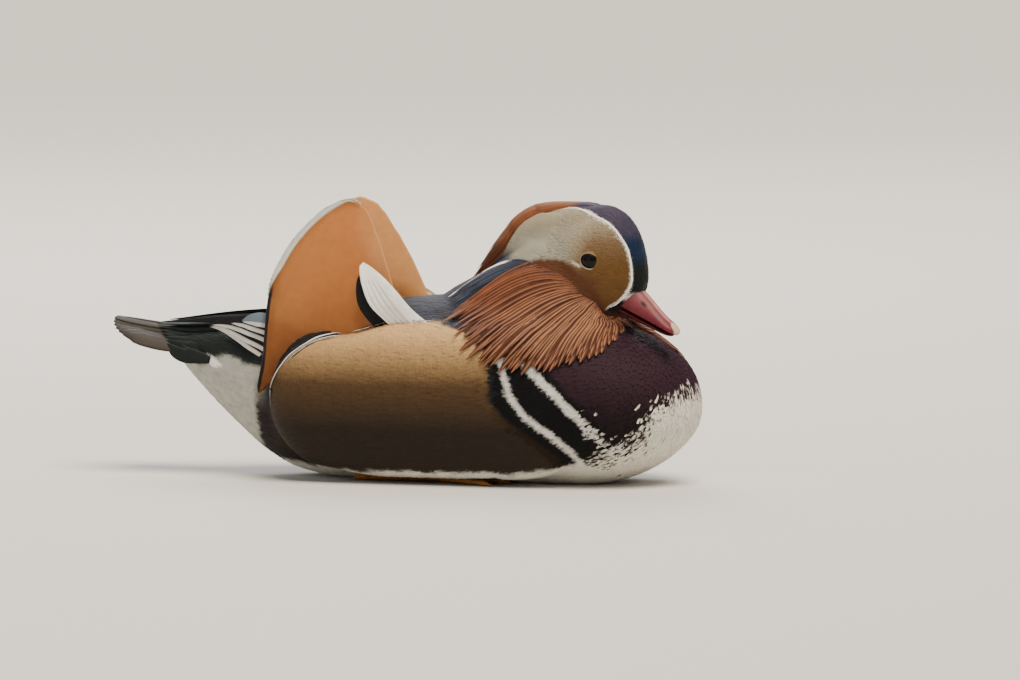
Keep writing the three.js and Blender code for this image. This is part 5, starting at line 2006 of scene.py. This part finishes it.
def tail(finish: Feathers, pairs: int = 7, coverts: int = 14) -> list[Plumes]:
    """A shallow roof of feathers, the middle pair longest and on top, under its dark coverts.

    Args:
        finish: what they are made of.
        pairs: how many long feathers it has on each side.
        coverts: how many coverts lie on each side, in pairs of a near and a far one.

    Returns:
        the tail and its coverts.
    """
    long, short = [], []
    for i in range(pairs):
        s = i / (pairs - 1)
        root = (-98, mix(2, 10, s), mix(77, 69, s))
        middle = (-130, mix(3, 17, s), mix(78.5, 70, s))
        tip = (mix(TAIL_TIP_X + 0.3, TAIL_TIP_X + 13, s * s), mix(3, 19, s), mix(83, 74.5, s))
        long.append(Plume((root, middle, tip), 10))
    for i in range(coverts):
        s, near = (i // 2) / (coverts // 2 - 1), i % 2
        root = (-92 - 6 * near - 15 * s**3, mix(7, 23, s), mix(83, 62.5, s))
        middle = (-114 - 5 * near - 7 * s**3, mix(7, 21.5, s), mix(81.5, 66, s))
        tip = (mix(-142, -133, s) + 8 * (1 - near), mix(5, 17.5, s), mix(80, 70.5, s))
        short.append(Plume((root, middle, tip), mix(8.5, 7.5, s), 0.4 * (1 - near)))
    facing = lambda place: (0, 0.25 + 0.6 * place, 1)
    outward = lambda place: (-0.1, 0.15 + 0.9 * place, 1 - 0.8 * place)
    slot, sides = "tail_feathers", list(SIDES.values())
    return [
        Plumes("tail", "tail", slot, finish, long, facing, tail_paint, sides),
        Plumes("tail_coverts", "tail", slot, finish, short, outward, covert_paint, sides, Tip.POINTED),
    ]


# Bare parts


def painted(name: str, surface: Surface, colours: Array) -> Thing:
    """A mesh over a surface in the bird's frame, painted point by point.

    Args:
        name: what it is called.
        surface: its points and faces.
        colours: the linear colour of each point.

    Returns:
        the object.
    """
    thing = plain_mesh(name, surface)
    paint_mesh(thing.data, np.concatenate([colours, np.ones((len(colours), 1))], axis=1), {})
    return thing


def ball(centre: Point, radii: Point, rows: int = 32, columns: int = 48) -> Surface:
    """An ellipsoid.

    Args:
        centre: its middle.
        radii: its three radii.
        rows: how many rings of points it has.
        columns: how many points are in each ring.

    Returns:
        the closed surface.
    """
    polar = np.linspace(0.02, np.pi - 0.02, rows)[:, None]
    angle = np.linspace(0, 2 * np.pi, columns, endpoint=False)[None]
    ring = np.stack(
        [np.sin(polar) * np.cos(angle), np.sin(polar) * np.sin(angle), np.cos(polar) + 0 * angle], axis=-1
    )
    return over_rings(ring[::-1] * radii + centre)


def tube(points: Array, radii: Array, around: int = 20, flat: float = 1.0) -> Surface:
    """A round tube along points, with its own radius at each.

    Args:
        points: the middle line.
        radii: the radius at each of its points.
        around: how many points go round it.
        flat: its height as a share of its width.

    Returns:
        the closed surface.
    """
    run = unit(np.gradient(points, axis=0))
    across = unit(np.cross(run, [0, 0, 1.0]))
    up = np.cross(across, run)
    angle = np.linspace(0, 2 * np.pi, around, endpoint=False)
    ring = across[:, None] * np.cos(angle)[None, :, None] + up[:, None] * np.sin(angle)[None, :, None] * flat
    return over_rings(points[:, None] + ring * radii[:, None, None])


@dataclass
class Bill:
    """The red bill with its pale nail, set on the face and pointing a little down."""

    finish: Horn
    seat: tuple[float, float, float] = (8.8, 0.0, -23.4)
    pitch_deg: float = 24.5

    def to_bird(self, points: Array) -> Array:
        """Points in the bird's frame.

        Args:
            points: points in the bill's own frame.

        Returns:
            the same points on the bird.
        """
        c, s = math.cos(math.radians(self.pitch_deg)), math.sin(math.radians(self.pitch_deg))
        turn = np.array([[c, 0, s], [0, 1, 0], [-s, 0, c]])
        return HEAD.to_bird(points @ turn.T + self.seat)

    def upper(self) -> None:
        """Makes the upper half with nostrils and nail."""
        loft = Loft(
            rear=0, front=39, rear_cap=1, front_cap=7, rear_z=6, front_z=0.6, power=2.3,
            half_width=((0, 8), (10, 7.8), (20, 6.7), (29, 6.2), (39, 6.3)),
            top=((0, 14), (8, 13), (18, 9.8), (24, 7.4), (31.5, 5.2), (39, 4.2)),
            bottom=((0, 0.15), (39, 0.15)), widest=((0, 1.6), (39, 1.6)),
        )
        surface = loft.surface(120, 96, 0.0)
        shape = surface.points
        x, y, z = shape.T
        # The nostril's dark opening is painted shade in a shallow pit
        nostril = np.sqrt(((x - 16) / 2.3) ** 2 + ((z - 7.7 + 0.25 * (x - 16)) / 1.1) ** 2)
        pit = step(1.3, 0.2, nostril) * (np.abs(y) > 1.5)
        nail = step(1.1, 0.8, np.sqrt(((x - 37.2) / 4.2) ** 2 + (y / 3.6) ** 2)) * step(0.4, 1.0, z)
        ridge_highlight = step(2.6, 0.6, np.abs(y)) * step(3, 6, z)
        groove = step(0.5, 0.0, np.abs(z - 1.5)) * step(2, 6, x)
        # Painted highlight: paler along the ridge and a little towards the top
        colour = blend(
            Tint.BILL,
            (Tint.BILL_HIGHLIGHT, ridge_highlight * 0.45 + 0.1 * step(2, 9, z)),
            (Tint.LORE, pit * 0.9),
            (Tint.BILL, groove * 0.5),
            (Tint.NAIL, nail),
        )
        moved = np.stack([x, y * (1 - 0.04 * pit), z + 0.35 * nail - 0.05 * groove], axis=1)
        thing = painted("bill_upper", Surface(self.to_bird(moved), surface.faces), colour)
        finish_piece(thing, self.finish, "bill_horn", "bill_upper")

    def lower(self) -> None:
        """Makes the lower half, mostly hidden under the upper."""
        loft = Loft(
            rear=0, front=36.5, rear_cap=1, front_cap=6, rear_z=-1.5, front_z=-1.2,
            half_width=((0, 7), (10, 6.8), (20, 5.9), (36.5, 5.2)), top=((0, -0.2), (36.5, -0.2)),
            bottom=((0, -4.2), (15, -3.4), (36.5, -2.2)), widest=((0, -1), (36.5, -1)),
        )
        surface = loft.surface(80, 64, 0.0)
        # Painted shade: the lower half is painted darker than the bill's red, as shade under the upper half
        thing = painted("bill_lower", surface.moved(self.to_bird), plain(Tint.BILL, surface.points) * 0.6)
        finish_piece(thing, self.finish, "bill_horn", "bill_lower")


@dataclass
class Eye:
    """One round eye, with iris and pupil, in the ring of its lids."""

    tag: str
    radius: float = 6.6
    side_out: float = 12.2
    ahead: float = -1.8
    yaw_deg: float = 16.0
    half_wide: float = 5.1
    half_high: float = 3.75
    lean_deg: float = -14.0
    reach: float = 6.8  # of the lids from the eye's axis
    pupil: float = 2.9
    iris: str = "#170d07"
    lid_points: int = 96
    lid_rings: Knots = ((0, -0.45), (0.03, 0.15), (0.12, 0.42), (0.25, 0.45), (0.45, 0.3), (0.7, 0.1), (1, -0.4))

    def build(self, wet: WetEye, lids: Feathers, skin: Skin) -> None:
        """Makes the eyeball, and lids that run from its surface out to the skin.

        Args:
            wet: what the eyeball is made of.
            lids: what the lids are covered with.
            skin: the skin round the eye.
        """
        side = SIDES[self.tag]
        yaw = math.radians(self.yaw_deg)
        ahead, aside = (math.cos(yaw), -side * math.sin(yaw), 0), (math.sin(yaw), side * math.cos(yaw), 0)
        axes = np.array([ahead, aside, (0, 0, 1)])
        centre = np.array([self.ahead, side * self.side_out, 0])
        to_bird = lambda points: HEAD.to_bird(centre + points @ axes)
        surface = ball((0, 0, 0), (self.radius,) * 3, 48, 64)
        off_axis = np.hypot(surface.points[:, 0], surface.points[:, 2])
        colour = blend(
            np.tile(linear(self.iris), (len(off_axis), 1)),
            (Tint.LORE, step(3.4, 4.6, off_axis)),
            (Tint.BAR_BLACK, step(self.pupil + 0.2, self.pupil - 0.2, off_axis)),
        )
        finish_piece(painted("eye_" + self.tag, surface.moved(to_bird), colour), wet, "eye_wet", "eye_" + self.tag)
        many = self.lid_points
        angle = np.linspace(0, 2 * np.pi, many, endpoint=False)
        c, s = math.cos(math.radians(self.lean_deg)), math.sin(math.radians(self.lean_deg))
        wide, high = self.half_wide * np.cos(angle), self.half_high * np.sin(angle)
        inner = np.stack([wide * c - high * s, wide * s + high * c], 1)
        outer = np.stack([np.cos(angle), np.sin(angle)], 1) * self.reach
        outward = HEAD.turn() @ axes[1]
        rings = []
        for share, rise in self.lid_rings:
            flat = inner + (outer - inner) * share
            bulge = np.sqrt(np.maximum(self.radius**2 - (flat**2).sum(axis=1), 0))
            on_ball = to_bird(np.stack([flat[:, 0], bulge, flat[:, 1]], 1))
            far = to_bird(np.stack([flat[:, 0], np.full(many, 40.0), flat[:, 1]], 1))
            on_skin = np.stack([skin.cast(point, -outward) for point in far])
            base = mix(on_ball, on_skin, float(step(0.1, 0.8, np.array(share))))
            rings.append(base + outward * rise)
        index = np.arange(len(rings) * many).reshape(-1, many)
        beside = np.roll(index, -1, axis=1)
        faces = np.stack([index[:-1], beside[:-1], beside[1:], index[1:]], axis=-1).reshape(-1, 4)
        surface = Surface(np.concatenate(rings), [tuple(f) for f in faces.tolist()])
        share = np.repeat([share for share, _ in self.lid_rings], many)
        low = np.tile(step(0.5, -0.6, np.sin(angle) + 0.4 * np.cos(angle)), len(rings))
        # The face's own colour, black at the very rim and pale round it, most of all below
        colour = blend(
            MARKINGS.head(surface.points),
            (Tint.FRINGE, step(0.34, 0.14, share) * mix(0.08, 0.55, low)),
            (Tint.LORE, step(0.09, 0.04, share)),
        )
        finish_piece(painted("lids_" + self.tag, surface, colour), lids, "face_plumage")


@dataclass
class Foot:
    """One webbed foot and shank, folded forwards under the belly."""

    tag: str
    foot_y: float = 23.0
    tips: Knots = ((50, -10, 1.6), (59, 3, 1.6), (52, 16, 1.6))
    web_points: int = 12
    lowest: float = 0.1

    def build(self, finish: FootSkin) -> None:
        """Makes the shank, and the toes with their claws and web.

        Args:
            finish: what they are made of.
        """
        joint = np.array([14, self.foot_y, 2.9])
        heel = np.array([-24, self.foot_y + 3, 4.0])
        mirror = np.array([1, SIDES[self.tag], 1])
        t = np.linspace(0, 1, 16)[:, None]
        shank = tube(mix(heel, joint, t) * mirror, np.interp(t[:, 0], [0, 0.15, 1], [3.9, 3.2, 2.6]))
        finish_piece(plain_mesh("leg_" + self.tag, shank), finish, "foot_skin", "leg_" + self.tag)
        parts = [ball(joint * mirror, (3.4, 3.4, 2.7), 16, 24)]
        tips = np.array(self.tips) + [0, self.foot_y, 0]
        for tip in tips:
            knuckles = 0.25 * np.cos(t[:, 0] * 6 * np.pi)
            parts.append(tube(mix(joint, tip, t) * mirror, mix(2.4, 1.5, t[:, 0]) + knuckles, 16, 0.85))
            claw = tip + unit(tip - joint) * 5 - [0, 0, 0.9]
            parts.append(tube(mix(tip, claw, t) * mirror, mix(1.2, 0.25, t[:, 0]), 10))
        hind = np.array([3, self.foot_y - 9, 1.8])
        parts.append(tube(mix(joint, hind, t) * mirror, mix(1.7, 0.9, t[:, 0]), 12))
        parts += [self.web(joint, a, b).moved(lambda points: points * mirror) for a, b in zip(tips[:-1], tips[1:])]
        foot = join_surfaces(parts)
        foot.points[:, 2] = np.maximum(foot.points[:, 2], self.lowest)
        finish_piece(plain_mesh("foot_" + self.tag, foot), finish, "foot_skin", "foot_" + self.tag)

    def web(self, joint: Array, a: Array, b: Array) -> Surface:
        """The skin between two toes, as an upper and a lower sheet.

        Args:
            joint: where the toes meet.
            a: the tip of one toe.
            b: the tip of the other.

        Returns:
            its surface.
        """
        many, half = self.web_points, [0, 0, 0.35]
        u, v = np.meshgrid(np.linspace(0.05, 1, many), np.linspace(0, 1, many), indexing="ij")
        edge = mix(a, b, v[..., None])
        inward = 1 - 0.12 * np.sin(np.pi * v[..., None])
        sheet = mix(joint, edge, u[..., None] * inward) - [0, 0, 0.4]
        index = np.arange(u.size).reshape(u.shape)
        quads = np.stack([index[:-1, :-1], index[1:, :-1], index[1:, 1:], index[:-1, 1:]], axis=-1).reshape(-1, 4)
        faces = [tuple(q) for q in quads.tolist()] + [tuple(q[::-1]) for q in (quads + u.size).tolist()]
        return Surface(np.concatenate([(sheet + half).reshape(-1, 3), (sheet - half).reshape(-1, 3)]), faces)


# Studio


@dataclass(frozen=True)
class Studio:
    """Camera, floor and soft light, set to the photograph's viewing angle."""

    azimuth_deg: float = 16.0
    elevation_deg: float = 5.0
    lens: float = 600.0
    sensor: float = 36.0
    picture: tuple[int, int] = (1020, 680)
    mm_per_pixel: float = 0.54  # at the bird
    origin_pixel: tuple[float, float] = (412.3, 476.9)  # where the bird's own origin shows
    floor_reach: float = 60000.0
    floor: StudioFloor = StudioFloor()

    def camera(self) -> None:
        """Sets the camera so that the bird fills the picture as in the photograph."""
        a, e = math.radians(self.azimuth_deg), math.radians(self.elevation_deg)
        back = Vector((math.sin(a) * math.cos(e), -math.cos(a) * math.cos(e), math.sin(e)))
        right = Vector((math.cos(a), math.sin(a), 0))
        up = back.cross(right)
        u = (self.picture[0] / 2 - self.origin_pixel[0]) * self.mm_per_pixel
        v = (self.origin_pixel[1] - self.picture[1] / 2) * self.mm_per_pixel
        away = self.lens / self.sensor * self.picture[0] * self.mm_per_pixel
        data = bpy.data.cameras.new("camera")
        data.lens, data.sensor_width, data.sensor_fit = self.lens, self.sensor, "HORIZONTAL"
        data.clip_end = 60
        thing = linked("camera", data)
        thing.location = (Vector((SHIFT_X, 0, 0)) + right * u + up * v + back * away) * 0.001
        thing.rotation_euler = back.to_track_quat("Z", "Y").to_euler()
        bpy.context.scene.camera = thing

    def light(self, name: str, place: Point, size: float, power: float, colour: str, kind: str = "AREA") -> None:
        """A soft light aimed at the bird.

        Args:
            name: what it is called.
            place: where it stands, in metres.
            size: its side in metres, or its angle in radians for a sun.
            power: its strength.
            colour: its sRGB hex colour.
            kind: AREA, or SUN for an even one from far off.
        """
        data = bpy.data.lights.new(name, kind)
        data.energy, data.color = power, tuple(linear(colour))
        if kind == "SUN":
            data.angle = size
        else:
            data.shape, data.size = "SQUARE", size
        thing = linked(name, data)
        thing.location = Vector(place)
        aim = Vector(place) - Vector((0, 0, 0.08))
        thing.rotation_euler = aim.to_track_quat("Z", "Y").to_euler()

    def build(self) -> None:
        """Makes the whole studio."""
        self.camera()
        self.light("key", (0.5, -0.45, 2.0), 0.7, 5.0, "#fff3e0", "SUN")
        self.light("back", (-0.7, 1.5, 1.5), 1.2, 30, "#ffffff")
        self.light("fill", (-0.6, -2.2, 0.9), 1.8, 6, "#eef3ff")
        world = bpy.data.worlds.new("studio")
        world.use_nodes = True
        background = world.node_tree.nodes["Background"].inputs
        background[0].default_value, background[1].default_value = rgba("#e4e5e6"), 0.45
        bpy.context.scene.world = world
        angle = np.linspace(0, 2 * np.pi, 64, endpoint=False)
        rim = np.stack([np.cos(angle), np.sin(angle), 0 * angle], axis=1) * self.floor_reach
        floor = plain_mesh("floor", Surface(rim, [tuple(range(len(angle)))]))
        floor.data.materials.append(self.floor.material())
        floor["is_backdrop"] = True


def main() -> None:
    """Builds the studio and every piece of the bird in order."""
    logging.basicConfig(level=logging.INFO, format="%(message)s")
    rng = np.random.default_rng(SEED)
    Studio().build()
    contour = Feathers("contour_feathers")
    skin = Skin()
    skin.build(contour)
    on_head = lambda p: MARKINGS.on_head(p) > 0.5
    head_length = lambda p: mix(1.8, 6.0, step(16, -30, HEAD.from_bird(p)[:, 0]))
    face = Feathers("face_velvet", mottle=0.05, barb_depth=0.05, relief=0.15)
    Coat("coat_head", "face_plumage", face, on_head, 0.82, head_length, 1.5, Tip.POINTED).build(skin, rng)
    hackles = Feathers("hackles")
    sails = Feathers("broad_vane", barb_depth=0.06, mottle=0.07, glow=0.8)
    vanes = Feathers("flight_vane", mottle=0.08)
    for tag, side in SIDES.items():
        FanPiece("ruff_" + tag, "ruff_plumage", side, RUFF[tag], RUFF_LAYERS, hackles, ruff_paint, 14).build(skin, rng)
        FanPiece(
            "nape_" + tag, "nape_plumage", side, NAPE[tag], NAPE_LAYERS, hackles, nape_paint,
            wander=0.1, camber=0.2, tip=Tip.SLIM,
        ).build(skin, rng)
        Sail(tag, sails, back=4.0 * (side > 0)).build(rng)
        scapulars(tag, vanes).build(rng)
        for row in wing_rows(tag, vanes):
            row.build(rng)
        Brow(tag, face).build(skin, rng)
        for line in edgings(tag, vanes):
            line.build(skin, rng)
        Eye(tag).build(WetEye(), face, skin)
        Foot(tag).build(FootSkin())
    Crest(hackles).build(rng)
    for row in tail(vanes):
        row.build(rng)
    bill = Bill(Horn())
    bill.upper()
    bill.lower()
    flank = Feathers("side_feathers", mottle=0.05, barb_depth=0.05, relief=0.12, bars=0.12)
    velvet = Feathers("breast_velvet", mottle=0.06, barb_depth=0.06, sheen=0.09, sheen_colour="#8f6f9c", specular=0.12)
    gold = lambda p: MARKINGS.body(p)[1] > 0.5
    front = lambda p: (p[:, 0] > 66) & ~gold(p) & ~on_head(p)
    even = lambda length: lambda p: np.full(len(p), length)
    for tag, side in SIDES.items():
        there = lambda p, side=side: gold(p) & (p[:, 1] * side > 0) & ~on_head(p)
        Coat("coat_flank_" + tag, "flank_plumage", flank, there, 1.7, even(9.0), 3.2, Tip.ROUND).build(skin, rng)
    Coat("coat_breast", "maroon_plumage", velvet, front, 1.6, even(6.0), 2.5, Tip.ROUND).build(skin, rng)
    rest = lambda p: (p[:, 0] <= 66) & ~gold(p) & ~on_head(p)
    Coat("coat_mantle", "mantle_plumage", contour, rest, 1.7, even(8.0), 3.0, Tip.ROUND).build(skin, rng)
    sizes = {"cad": CAD_BOX, "visual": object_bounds()}
    {name: [list(corner) for corner in box] for name, box in sizes.items()}


if __name__ == "__main__":
    main()
